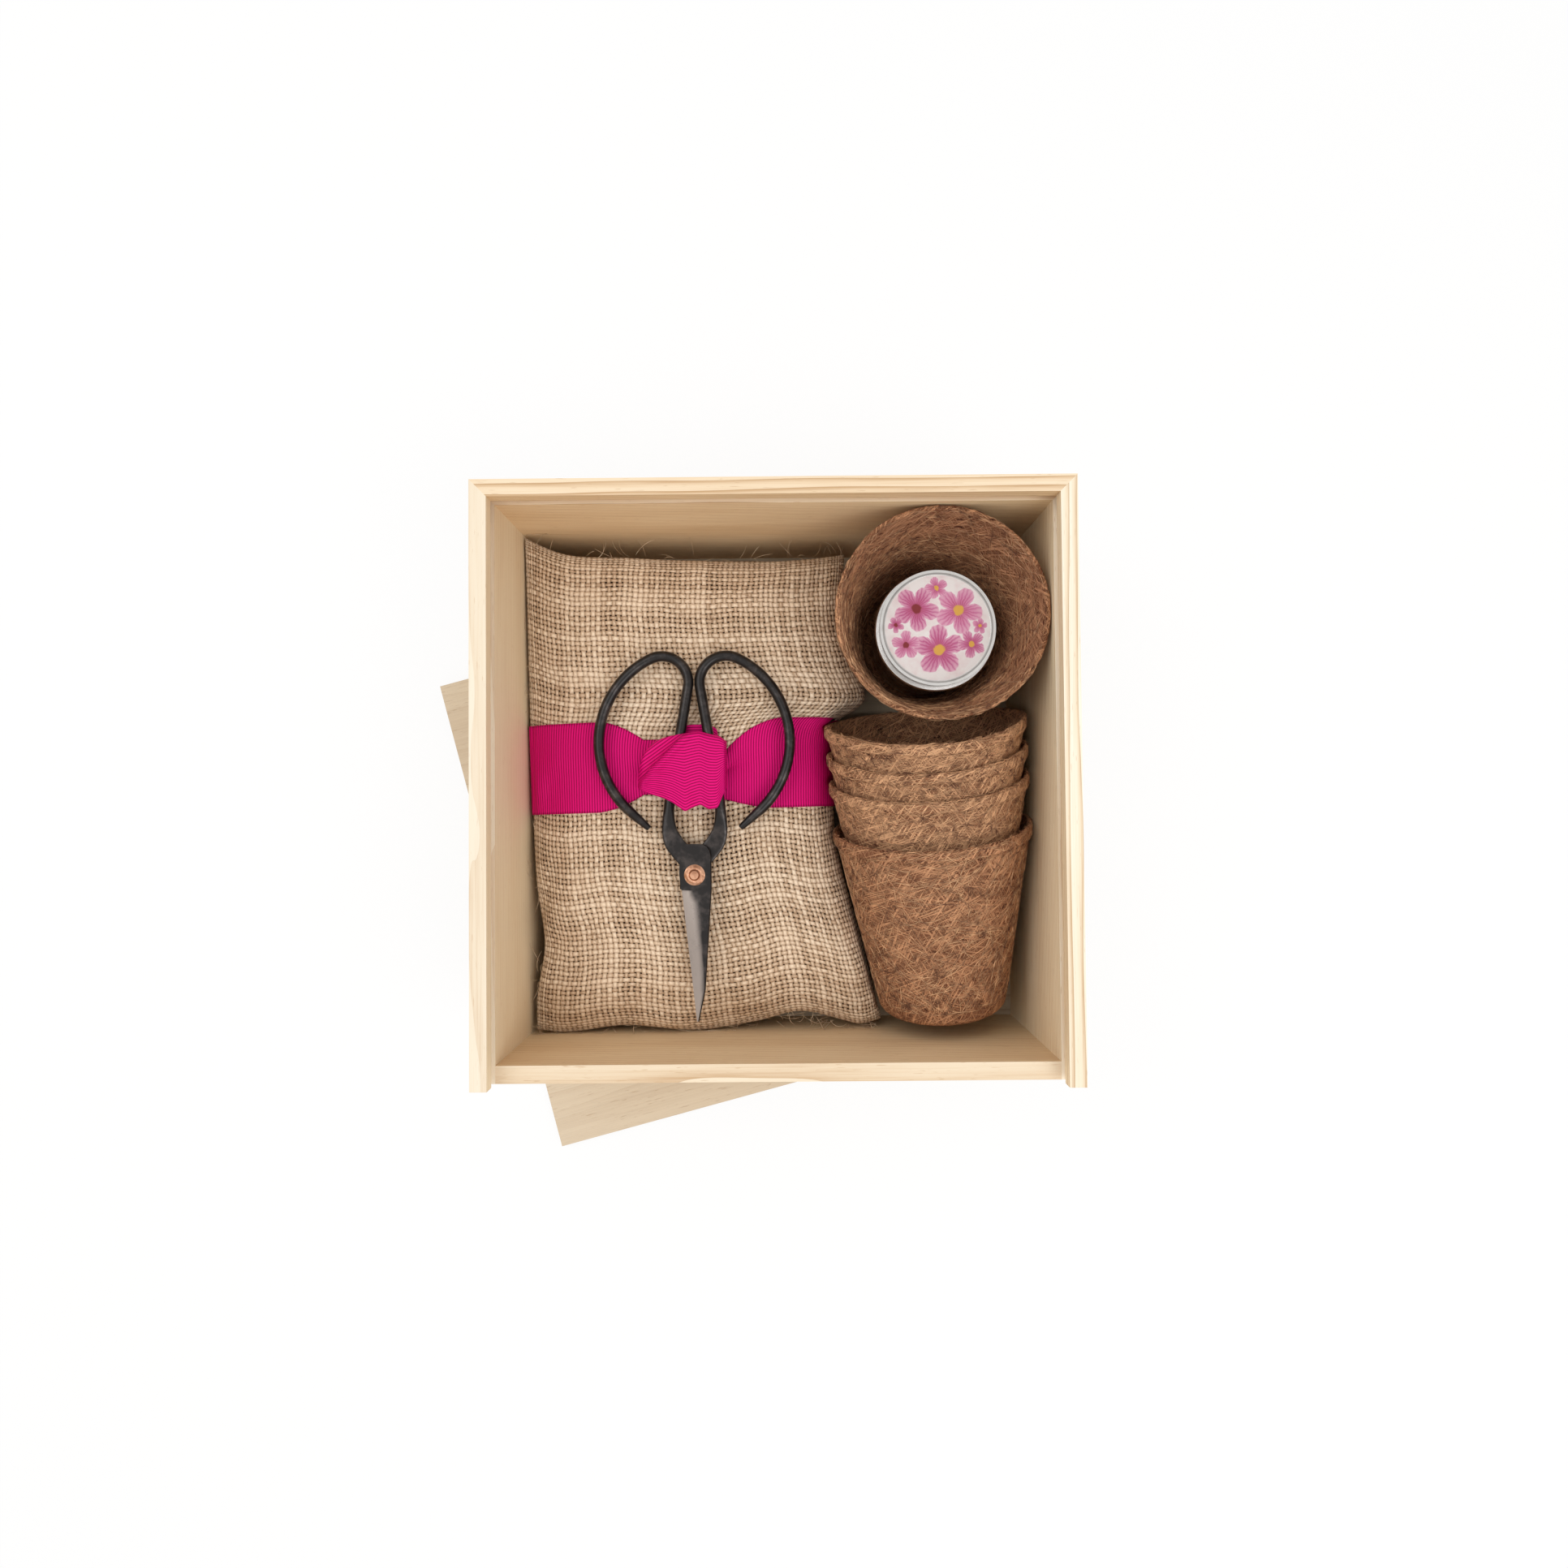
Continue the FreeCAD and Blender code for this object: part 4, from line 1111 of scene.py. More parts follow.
        # The first lots lie along the edges, and the last one anywhere on the cloth
        row = [rng.integers(low, high, some) for low, high, some in (
            (0, 3, front), (rows - 3, rows, back), (2, rows - 2, sides))]
        column = [rng.integers(1, columns - 1, front + back)]
        column.append(np.where(rng.random(sides) < 0.5, 1, columns - 2))
        row.append(rng.integers(4, rows - 4, loose))
        column.append(rng.integers(4, columns - 4, loose))
        start = self.upper[np.concatenate(row), np.concatenate(column)]
        count = len(start)
        heading = rng.uniform(0, 2 * math.pi, count)
        bend = rng.normal(0, 1.1, count)
        # At the edges the fibres are longer and stand further off the cloth
        length = np.concatenate([rng.uniform(0.004, 0.011, edge), rng.uniform(0.003, 0.007, loose)])
        steps = np.linspace(0.0, 1.0, 6)[None]
        turn = heading[:, None] + bend[:, None] * steps
        run = length[:, None] / 5
        flat = np.cumsum(np.stack([np.cos(turn) * run, np.sin(turn) * run], -1), axis=1)
        lift = np.concatenate([rng.uniform(-0.001, 0.0025, edge), rng.uniform(0.0003, 0.0009, loose)])
        level = start[:, None, 2] + 0.0004 + lift[:, None] * np.sin(steps * math.pi * 0.8)
        lines = np.concatenate([start[:, None, :2] + flat, level[..., None]], -1)
        # Fibres that would lie under the ribbon or past the right edge are left out
        ribbon_middle, ribbon_reach = 0.009, 0.0235
        limit = np.interp(lines[..., 1], self.upper[:, -1, 1], self.upper[:, -1, 0])
        clear = (np.abs(lines[..., 1] - ribbon_middle) > ribbon_reach) & (lines[..., 0] < limit)
        kept = clear.all(axis=1)
        # The others stay between the walls and below the scissors
        lines = np.clip(lines, (-0.1129, -0.1125, -np.inf), (np.inf, 0.1128, 0.0634))
        return make_strands("hessian_strands", lines[kept], rng.uniform(0.00006, 0.00014, count)[kept])

    def dress(self, pots: "PotSet") -> "HessianBag":
        """Build and dress the bag, its compost and its stray fibres.

        Args:
            pots: The pots that the bag lies against.

        Returns:
            The bag, for the ribbon that is tied round it.
        """
        bag = self.build(pots)
        wear_finish(bag, Hessian().material())
        soften = bag.modifiers.new("Soften", "SUBSURF")
        soften.levels = soften.render_levels = 1
        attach(bag, "bag")
        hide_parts("hessian_bag")
        hairs = self.strands()
        jute = Strand("jute_strand", (0.80, 0.62, 0.43), (0.42, 0.27, 0.16))
        wear_finish(hairs, jute.material())
        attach(hairs, "bag")
        fill = self.compost()
        crumb = Crumb("compost", (0.10, 0.055, 0.03), (0.03, 0.017, 0.01), 420.0)
        wear_finish(fill, crumb.material())
        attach(fill, "bag")
        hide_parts("compost_fill")
        LOG.info("hessian_bag: %d points", len(bag.data.vertices))
        return self


@dataclass
class Ribbon:
    """Ribbon tied round the bag, and the knot that holds the scissors.

    The two outlines of the knot are in millimetres, and everything else is in metres.
    """

    width: float = 0.040
    middle_left: float = 0.0072
    middle_right: float = 0.0100
    knot_left: float = -0.0585
    knot_right: float = -0.0220
    reach: float = 0.021
    lift: float = 0.0006
    strips: int = 33
    window: int = 11
    run_at: float = 0.0085
    pleat: float = 0.0024
    ends: Point = (-0.11, 0.02)
    heart: Place = (-0.045, 0.0, 0.036)
    levels: Point = (0.0093, 0.0639)
    wall: float = -0.1130
    knot_top: tuple[Point, ...] = (
        (-60.6, 0.4), (-59.6, 7.8), (-56.5, 14.4), (-52.4, 18.6), (-47.0, 20.6), (-40.0, 21.9),
        (-33.0, 22.9), (-29.5, 21.8), (-24.4, 20.7), (-21.4, 18.4))
    knot_hem: tuple[Point, ...] = (
        (-60.6, -1.4), (-54.2, -4.2), (-48.2, -6.1), (-44.2, -8.0), (-39.2, -11.9), (-36.6, -10.4),
        (-32.4, -8.9), (-29.0, -11.0), (-25.2, -10.4), (-22.6, -4.6), (-21.4, -1.6))

    def is_right(self, x: float) -> bool:
        """Whether a place along the band lies to the right of the knot's middle."""
        return x > (self.knot_left + self.knot_right) / 2

    def gather(self, x: float) -> float:
        """How hard the band is pulled together at a place along it, from 0 to 1."""
        far = max(self.knot_left - x, x - self.knot_right, 0.0) / self.reach
        return max(0.0, 1.0 - far) ** 1.7

    def pleats(self, x: float, share: np.ndarray) -> np.ndarray:
        """Height of the folds across the band where it is pulled together."""
        # Share of the width where two folds meet, and height of the front one as a share of the other
        fold, front = (0.62, 1.0) if self.is_right(x) else (0.4, 0.7)
        swell = np.where(share < fold, np.sin(share / fold * math.pi) * front,
                         np.sin((share - fold) / (1.0 - fold) * math.pi))
        return np.abs(swell) * self.pleat

    def band(self, bag: HessianBag) -> Object:
        """Lay the band round the bag.

        Args:
            bag: The settled bag.

        Returns:
            The band.
        """
        share = np.linspace(0.0, 1.0, self.strips)
        runs = []
        for sheet, order in ((bag.upper, 1), (bag.lower, -1)):
            fine = np.linspace(0, sheet.shape[1] - 1, 3 * sheet.shape[1] - 2)
            floor = np.floor(fine).astype(int)
            after = np.minimum(floor + 1, sheet.shape[1] - 1)
            part = (fine - floor)[None, :, None]
            dense = sheet[:, floor] * (1.0 - part) + sheet[:, after] * part
            lines = []
            for column in range(dense.shape[1])[::order]:
                line = dense[:, column]
                x = float(np.interp(self.run_at, line[:, 1], line[:, 0]))
                pull = self.gather(x) if order == 1 else 0.0
                # How far the gathered ribbon is drawn forward, and the share of its width that it loses
                forward, lost = (0.0052, 0.48) if self.is_right(x) else (0.0006, 0.41)
                middle = float(np.interp(x, self.ends, (self.middle_left, self.middle_right)))
                y = middle - pull * forward + (share - 0.5) * self.width * (1.0 - pull * lost)
                z = np.interp(y, line[:, 1], line[:, 2])
                padded = np.pad(z, self.window // 2, mode="edge")
                smooth = np.convolve(padded, np.ones(self.window) / self.window, "valid")
                z = np.maximum(z, smooth) + pull * self.pleats(x, share)
                lines.append(np.stack([np.interp(y, line[:, 1], line[:, 0]), y, z], -1))
            runs.append(np.array(lines)[:-1])
        net = np.concatenate(runs)
        normal = net_normals(np.concatenate([net[-1:], net, net[:1]]))[1:-1]
        away = (net - np.array(self.heart)) * (1.0, 0.0, 1.0)
        net = net + normal * np.sign(np.sum(normal * away, axis=-1, keepdims=True)) * self.lift
        net[..., 2] = np.clip(net[..., 2], *self.levels)
        net[..., 0] = np.maximum(net[..., 0], self.wall)
        faces, corners = net_faces(self.strips, len(net), closed=True)
        length = run_along(np.concatenate([net, net[:1]])[:, self.strips // 2])
        self.band_length = float(length[-1])
        cloth = np.stack([length[corners[..., 1]], share[corners[..., 0]] * self.width], -1).reshape(-1, 2)
        return make_object("ribbon_band_cloth", net.transpose(1, 0, 2), faces, cloth)

    def knot(self) -> Object:
        """Fold the knot over the scissors' legs, with one deep pleat at its upper left.

        Returns:
            The knot.
        """
        across, down = np.linspace(0.0, 1.0, 81), np.linspace(0.0, 1.0, 65)
        top, hem = np.array(self.knot_top) * MM, np.array(self.knot_hem) * MM
        (begin, _), (finish, _) = self.knot_top[0], self.knot_top[-1]
        x = (begin + (finish - begin) * across) * MM
        high, low = np.interp(x, top[:, 0], top[:, 1]), np.interp(x, hem[:, 0], hem[:, 1])
        for _ in range(2):
            high[1:-1] = (high[:-2] + 2 * high[1:-1] + high[2:]) / 4
            low[1:-1] = (low[:-2] + 2 * low[1:-1] + low[2:]) / 4
        d = down[:, None]
        y = high[None] + (low - high)[None] * d
        x = np.broadcast_to(x[None], y.shape)
        # The pleat runs down to the left, and places are measured aside from it
        start, end = np.array((-39.0, 22.0)) * MM, np.array((-57.0, 3.5)) * MM
        way = unit(end - start)
        aside = (x - start[0]) * way[1] - (y - start[1]) * way[0]
        # The knot is a low mound about its middle
        wide, tall = (x + 0.0355) / 0.0265, (y - 0.007) / 0.02
        z = 0.0676 + 0.0062 * np.sqrt(np.clip(1.0 - wide**2 * 0.55 - tall**2 * 0.3, 0.05, 1.0))
        # The ribbon drops at the pleat and comes up again beyond it
        drop = ease(ramp(aside, -0.0002, 0.0011))
        z = z - 0.0030 * drop * np.exp(-np.maximum(aside, 0.0) / 0.007)
        # Place, width and height of the ridges and furrows along the pleat
        for place, breadth, height in ((-0.0020, 0.0016, 0.0017), (0.0052, 0.0016, 0.0009),
                                       (0.0080, 0.0014, -0.0006)):
            z = z + height * np.exp(-(((aside - place) / breadth) ** 2))
        # Small waves run towards the hem, and a crease crosses the left half
        waves = np.sin((x + 0.05) * 520.0 + y * 160.0)
        z = z + 0.0009 * waves * ramp(d, 0.45, 0.55)
        crease = (y - 0.0035 - (x + 0.060) * 0.16) / 0.0013
        z = z - 0.0014 * np.exp(-crease**2) * ramp(x, -0.040, -0.016)
        # Top of the scissors' legs and of the band, which the knot's edges come down to
        legs, band = 0.0697, 0.0638
        rolled = (1.0 - (1.0 - ramp(d, 0.0, 0.10)) ** 2) ** 0.5
        z = legs + (np.maximum(z, legs) - legs) * rolled
        left, right = ramp(x, -0.0607, 0.0048), ramp(x, -0.0213, -0.0011)
        z = band + (z - band) * (1.0 - (1.0 - left) ** 2.2) * (1.0 - (1.0 - right) ** 2) ** 0.5
        net = np.stack([x, y, z], -1)
        faces, corners = net_faces(*net.shape[:2])
        # Beyond the pleat the ribs turn by an angle, and elsewhere they follow the knot's depth
        turn, depth, inset = 0.62, 0.031, 0.0008
        turned = y * math.cos(turn) - x * math.sin(turn)
        run = np.where(aside > 0.0, -turned, np.broadcast_to(d * depth, y.shape))
        row, column = corners[..., 0], corners[..., 1]
        side = inset + across[column] * (self.width - 2 * inset)
        cloth = np.stack([run[row, column], side], -1).reshape(-1, 2)
        sides = np.linalg.norm(np.cross(np.diff(net, axis=0)[:, :-1], np.diff(net, axis=1)[:-1]), axis=-1)
        self.knot_area = float(sides.sum())
        return make_object("ribbon_knot_cloth", net, faces, cloth)

    def tuck(self) -> Object:
        """Lay the turn of ribbon that shows behind the scissors' legs.

        Returns:
            The turn of ribbon.
        """
        across, down = np.linspace(-1.0, 1.0, 25), np.linspace(0.0, 1.0, 15)
        a, d = across[None, :], down[:, None]
        length, half = 0.014, 0.01
        # It widens towards the front, and its back edge and its sides bend down
        x = -0.0342 + a * (0.0082 + 0.0028 * d)
        y = 0.0262 - 0.0022 * a**4 - d * length
        z = 0.06395 - 0.0010 * a**2
        net = np.stack(np.broadcast_arrays(x, y, z), -1)
        faces, corners = net_faces(*net.shape[:2])
        side = half + (across[corners[..., 1]] + 1.0) * half
        cloth = np.stack([down[corners[..., 0]] * length, side], -1)
        return make_object("ribbon_tuck_cloth", net, faces, cloth.reshape(-1, 2))

    def dress(self, bag: HessianBag) -> None:
        """Build and dress the band, the knot and the turn behind it.

        Args:
            bag: The settled bag that they are tied round.
        """
        finish = Grosgrain().material()
        band, knot, tuck = self.band(bag), self.knot(), self.tuck()
        for piece in (band, knot, tuck):
            wear_finish(piece, finish)
            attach(piece, "bag")
        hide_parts("ribbon_band")
        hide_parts("ribbon_knot")
        LOG.info("ribbon: band %.3f m, knot %.5f m2", self.band_length, self.knot_area)


@dataclass
class Scissors:
    """Forged scissors: two blackened halves, and copper washers under a hammered rivet.

    Plan sizes are in millimetres from the pivot, for the half with its loop on the right.
    """

    pivot: Place = (-35.61, -39.15, 66.45)
    neck: tuple[Point, ...] = (
        (1.6, 4.4), (5.6, 9.6), (8.7, 13.6), (10.6, 18.0), (11.25, 23.0), (11.1, 29.0), (10.5, 34.5))
    bend_centre: Point = (13.95, 83.5)
    bend: float = 11.5
    bow_centre: Point = (1.0, 57.6)
    bow: float = 40.5
    bow_end: Point = (27.8, 27.6)
    tip_length: float = 11.0
    wire: float = 2.3
    plate: float = 2.6
    gap: float = 0.05
    neck_half: float = 3.7
    heel: float = -6.6
    point: float = -63.2

    def route(self) -> np.ndarray:
        """Middle line of one half from its neck round the loop to the tip."""
        start = np.array(self.neck[-1])
        to_bend = np.array(self.bend_centre) - start
        far = float(np.linalg.norm(to_bend))
        turn = math.atan2(to_bend[1], to_bend[0]) + math.asin(self.bend / far)
        leg_top = start + math.sqrt(far**2 - self.bend**2) * np.array((math.cos(turn), math.sin(turn)))

        def bearing(place: Point, centre: Point) -> float:
            """Angle of a place seen from a centre."""
            return math.atan2(place[1] - centre[1], place[0] - centre[0])

        def arc(centre: Point, radius: float, begin: float, end: float, count: int) -> np.ndarray:
            """Points of an arc after its first one."""
            angle = np.linspace(begin, end, count)[1:]
            return np.array(centre) + radius * np.stack([np.cos(angle), np.sin(angle)], -1)

        first = bearing(leg_top, self.bend_centre) % (2 * math.pi)
        joint = bearing(self.bend_centre, self.bow_centre)
        last = bearing(self.bow_end, self.bow_centre)
        low = smooth_line(self.neck, np.linspace(0.0, 1.0, 34)) / MM
        leg = start + (leg_top - start) * np.linspace(0.0, 1.0, 26)[1:, None]
        over = arc(self.bend_centre, self.bend, first, joint, 26)
        round_bow = arc(self.bow_centre, self.bow, joint, last, 44)
        heading = np.array((math.sin(last), -math.cos(last)))
        tip = round_bow[-1] + heading * np.linspace(0.0, self.tip_length, 9)[1:, None]
        return np.concatenate([low, leg, over, round_bow, tip])

    def bar(self, sign: float) -> tuple[np.ndarray, np.ndarray]:
        """Sweep the bar of one half, flat at its neck, round along the loop and tapered at its end.

        Args:
            sign: 1 for the upper half and -1 for the lower one.

        Returns:
            Points in millimetres from the pivot, and faces.
        """
        line = self.route()
        run = run_along(line)
        # The flat neck is drawn out to round wire over this run, and the wire is tapered towards its end
        formed = ease(ramp(run, 10.0, 19.0))
        taper = np.interp(run[-1] - run, (0.0, 0.35, 12.0), (0.50, 0.60, 1.0))
        # Hammer marks, and the shoulder that swells the neck
        marks = 1.0 + 0.007 * np.sin(run * 1.1) + 0.012 * np.sin(run * 0.43 + 1.0)
        swell = 0.5 * np.sin(ramp(run, 0.0, 18.0) * math.pi)
        wide = (self.neck_half + swell + (self.wire - self.neck_half) * formed) * taper * marks
        tall = (self.plate / 2 + (self.wire - self.plate / 2) * formed) * taper
        level = sign * (self.gap + self.plate / 2) * (1.0 - formed)
        way = unit(np.gradient(line, axis=0))
        side = np.stack([way[:, 1], -way[:, 0]], -1)
        turn = np.linspace(0.0, 2 * math.pi, 28, endpoint=False)
        # Power of the section's outline, which is 2 for a round bar and more for a squarer one
        square, round_bar = 6.0, 2.0
        power = (2.0 / (square + (round_bar - square) * formed))[:, None]
        across = np.sign(np.cos(turn)) * np.abs(np.cos(turn)) ** power * wide[:, None]
        up = np.sign(np.sin(turn)) * np.abs(np.sin(turn)) ** power * tall[:, None] + level[:, None]
        net = np.concatenate([line[:, None] + side[:, None] * across[..., None], up[..., None]], -1)
        net = capped(net)
        faces, _ = net_faces(*net.shape[:2], closed=True)
        return net.reshape(-1, 3), faces

    def blade(self, upper: bool) -> tuple[np.ndarray, np.ndarray]:
        """Loft the flat of one half: the pivot eye with a rounded top corner, and the ground blade.

        Args:
            upper: Whether it is the upper half, which shows its ground edge.

        Returns:
            Points in millimetres from the pivot, with the spine on the left, and faces.
        """
        widest = 7.2
        spine = widest if upper else 6.7
        # Place along the eye, and its left and right sides there
        eye = ((13.2, -2.6, 3.9), (12.9, -4.2, 4.3), (12.0, -5.7, 4.8), (10.4, -6.75, 5.4),
               (8.0, -spine, 6.1), (4.0, -spine, 6.5), (0.0, -spine, 6.6), (-6.3, -spine, 5.8))
        # Place along the half, and its spine, its ridge and its edge there
        stations = [(y, low * spine / widest if low > -spine else low, high, high) for y, low, high in eye]
        for y in (-6.7, -12.0, -18.0, -26.0, -34.0, -42.0, -49.5, -56.0, -60.5, self.point):
            # The edge runs in to the point, and the ridge of the upper half crosses to the spine
            share = (self.heel - y) / 56.9
            back = float(np.interp(y, (-63.5, -49.5, self.heel), (-1.35, -4.32, -spine)))
            edge = 5.7 - 6.15 * share
            if upper:
                ridge = min(max(-4.3 * (self.heel - y) / 44.2, back + 0.5), edge - 0.1)
            else:
                back, edge = 0.4 - edge, edge + 1.5 * share**2
                ridge = edge - 0.3
            stations.append((y, back, ridge, edge))
        rows = []
        for y, back, ridge, edge in stations:
            thick = float(np.interp(y, (self.point, -24.0), (0.8, self.plate)))
            low_level = self.gap if upper else -self.gap - thick
            high_level = low_level + thick
            # The ground face slopes down from the ridge, and the spine is bevelled
            ground = min(1.7, 0.32 * (edge - ridge), thick - 0.15)
            thin = high_level - (ground if upper and y < self.heel else 0.3)
            bevel = min(0.35, (edge - back) / 5)
            rows.append([(back, y, low_level), (back, y, high_level - bevel), (back + bevel, y, high_level),
                         (ridge, y, high_level), (edge, y, thin), (edge, y, low_level)])
        net = capped(np.array(rows))
        faces, _ = net_faces(*net.shape[:2], closed=True)
        return net.reshape(-1, 3), faces

    def half(self, name: str, upper: bool) -> Object:
        """Forge one half in one piece.

        Args:
            name: Name of the piece.
            upper: Whether it is the upper half, whose loop is on the left.

        Returns:
            The half.
        """
        bar, bar_faces = self.bar(1.0 if upper else -1.0)
        flat, flat_faces = self.blade(upper)
        points = np.concatenate([bar, flat])
        if upper:
            points = points * (-1.0, 1.0, 1.0)
        faces = np.concatenate([bar_faces, flat_faces + len(bar)])
        piece = make_object(name, (points + np.array(self.pivot)) * MM, faces)
        mesh = piece.data
        mesh.validate()
        shaper = bmesh.new()
        shaper.from_mesh(mesh)
        bmesh.ops.remove_doubles(shaper, verts=shaper.verts, dist=1e-6)
        bmesh.ops.recalc_face_normals(shaper, faces=shaper.faces)
        shaper.to_mesh(mesh)
        shaper.free()
        mesh.set_sharp_from_angle(angle=math.radians(32.0))
        return piece

    def dress(self) -> None:
        """Build and dress both halves, the rivet and the washers."""
        steel = ForgedSteel().material()
        for name, node, body in (("scissor_upper_forged", "scissor_left_half", "scissors_upper"),
                                 ("scissor_lower_forged", "scissor_right_half", "bag")):
            piece = self.half(name, body == "scissors_upper")
            wear_finish(piece, steel)
            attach(piece, body)
            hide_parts(node)
        copper = WarmMetal("copper", (0.72, 0.40, 0.26), (0.36, 0.17, 0.10)).material()
        for node in ("pivot_rivet", "rivet_washers"):
            wear_finish(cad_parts[node], copper)
        LOG.info("scissors dressed")


@dataclass
class CoirPot:
    """A pot pressed from coconut fibre, with its sizes in millimetres."""

    node: str
    body: str
    place: Matrix
    seed: int
    bare_below: float
    wall_strands: int
    inner_strands: int
    sunk: float
    rim: float = 44.25
    base: float = 28.5
    height: float = 85.0
    wall: float = 2.1
    floor: float = 2.6
    band: float = 5.2
    step: float = 0.35
    round: float = 5.5
    columns: int = 180

    def profile(self) -> tuple[np.ndarray, np.ndarray]:
        """Radius and height of the pot's section.

        Returns:
            Points from the middle of the base, up the outside, over the rim and down the inside, and
            whether each one is inside.
        """
        # Bare numbers here are small rounds and offsets of the section, and shares of a run
        slope = (self.rim - self.step - self.base) / self.height
        lean = math.atan(slope)
        centre = (self.base - self.round * 0.86, self.round)
        corner = [(centre[0] + self.round * math.sin(turn), centre[1] - self.round * math.cos(turn))
                  for turn in np.linspace(0.0, math.pi / 2 - lean, 9)]
        outside = [(share * centre[0], 0.0) for share in np.linspace(0.02, 0.95, 12)] + corner
        (foot, low), below = outside[-1], self.height - self.band
        spread = (self.rim - self.step - 0.3 - foot) / (self.height - low)
        outside += [(foot + (level - low) * spread, level)
                    for level in np.linspace(low + 1.6, below - 0.7, 44)]
        edge = self.rim - slope * self.band * 0.3
        outside += [(edge - 0.35, below - 0.25), (edge - 0.05, below + 0.25)]
        outside += [(edge + (self.rim - edge) * share, below + self.band * share)
                    for share in np.linspace(0.1, 0.93, 9)]
        thick, bead = self.wall + self.step * 0.6, 0.75
        lip = [(self.rim - thick / 2 * (1.0 - math.cos(turn)), self.height - bead * (1.0 - math.sin(turn)))
               for turn in np.linspace(0.25, math.pi - 0.25, 7)]
        inner_top, inner_base = self.rim - thick, self.base - self.wall - 0.6
        high, deep = self.height - 1.4, self.floor + 2.2
        inside = [(inner_top + (inner_base - inner_top) * share, high + (deep - high) * share)
                  for share in np.linspace(0.0, 1.0, 46)]
        inside += [(inner_base - 0.5, self.floor + 1.0), (inner_base - 1.6, self.floor + 0.25)]
        inside += [((inner_base - 2.6) * share, self.floor) for share in np.linspace(1.0, 0.02, 12)]
        line = np.array(outside + lip + inside) * MM
        return line, np.arange(len(line)) >= len(outside) + 4

    def build(self) -> Object:
        """Turn the section round, roughen it and put it in its place.

        Returns:
            The pot.
        """
        line, inner = self.profile()
        turn = np.linspace(0.0, 2 * math.pi, self.columns, endpoint=False)
        ring = np.stack([np.cos(turn), np.sin(turn), np.zeros_like(turn)], -1)
        net = line[:, None, :1] * ring[None] + line[:, None, 1:] * np.array([0.0, 0.0, 1.0])
        lumps = Lumps(self.seed)
        # Fine lumps cover the wall, which is dented more broadly too
        rough = lumps.at(net, 0.0031) * 0.5 + lumps.at(net + 0.3, 0.0013) * 0.5
        dent = 0.00022 * (rough - 0.8) + 0.0003 * np.minimum(lumps.at(net + 0.7, 0.02), 0.0)
        outward = ring[None] * np.where(inner, -1.0, 1.0)[:, None, None]
        # The underside of the base stays flat
        at_base = (line[:, 1] < 0.003) & ~inner
        net = net + np.where(at_base[:, None, None], 0.0, outward) * dent[..., None]
        frayed = 3.0 * MM
        near_rim = ramp(line[:, 1], self.height * MM - frayed, frayed)
        ragged = lumps.at(net + 1.3, 0.0048) * 0.6 + lumps.at(net + 2.1, 0.0019) * 0.5
        net[..., 2] += near_rim[:, None] * (np.minimum(ragged, 0.15) - 0.25) * 0.0006
        self.line = line
        faces, corners = net_faces(*net.shape[:2], closed=True)
        # Cloth length round the wall, and a shift that gives each pot fibres of its own
        round_length, shift = 2 * math.pi * 0.038, self.seed * 0.37
        around = corners[..., 1] / self.columns * round_length
        cloth = np.stack([around, run_along(line)[corners[..., 0]] + shift], -1)[:, ::-1].reshape(-1, 2)
        piece = make_object(f"{self.node}_coir", self.put(net), faces[:, ::-1], cloth)
        slot = np.where(inner[corners[:, 0, 0]], 1, 0)
        piece.data.polygons.foreach_set("material_index", slot.astype(np.int32))
        return piece

    def put(self, points: np.ndarray) -> np.ndarray:
        """Bring points from the pot's own frame to its place in the box.

        Args:
            points: Places in the pot's own frame, in metres.

        Returns:
            Places in the box, with the upper side of the rim sunk back along the wall.
        """
        high = ramp(-points[..., 1:2], 0.0, self.rim * MM) ** 1.5
        level = ramp(points[..., 2:], 0.0, self.height * MM) ** 3
        back = self.sunk * MM * high * level
        radius = np.maximum(np.hypot(points[..., :1], points[..., 1:2]), MM)
        slope = (self.rim - self.base) / self.height
        flat = points[..., :2] * (1.0 - slope * back / radius)
        local = np.concatenate([flat, points[..., 2:] - back], -1)
        turn = np.array(self.place.to_3x3())
        return local @ turn.T + np.array(self.place.translation)

    def strands(self) -> Object:
        """Build the loose fibres on the pot's skin and rim.

        Returns:
            The fibres.
        """
        rng = np.random.default_rng(self.seed + 100)
        # Each fibre is numbered 0 on the wall, 1 on the rim or 2 inside, and values in threes follow that
        on_rim = 260
        parts = np.repeat((0, 1, 2), (self.wall_strands, on_rim, self.inner_strands))
        count = len(parts)
        lowest, highest = np.array((self.bare_below, 0.975, 0.15)), np.array((0.97, 0.998, 0.97))
        level = rng.uniform(lowest[parts], highest[parts])
        turn = rng.uniform(0.0, 2 * math.pi, count)
        slant = rng.normal(0.0, 1.0, count) * np.array((1.0, 0.2, 1.0))[parts]
        length = rng.uniform(0.005, 1.0, count) ** 1.4 * np.array((0.019, 0.009, 0.017))[parts] + 0.004
        steps = np.linspace(-0.5, 0.5, 7)[None]
        curl = rng.normal(0.0, 1.0, count)[:, None] * steps**2
        climb = length[:, None] * (steps * np.sin(slant)[:, None] + curl * 0.5)
        rise = level[:, None] * self.height * MM + climb
        least = np.where(parts == 0, self.bare_below * self.height * MM, 0.006)[:, None]
        rise = np.clip(rise, least, (self.height + 0.1) * MM)
        peak = int(np.argmax(self.line[:, 1]))
        outer = np.interp(rise, self.line[:peak, 1], self.line[:peak, 0])
        inner = np.interp(rise, self.line[:peak:-1, 1], self.line[:peak:-1, 0])
        lift = rng.uniform(-0.00005, 0.00022, count)[:, None] * np.cos(steps * math.pi)
        inward = rng.uniform(0.0, 0.0022, count)[:, None]
        radii = (outer - 0.00016 + lift, outer - 0.00012 - inward + lift, inner + 0.00016 - lift)
        radius = np.choose(parts[:, None], radii)
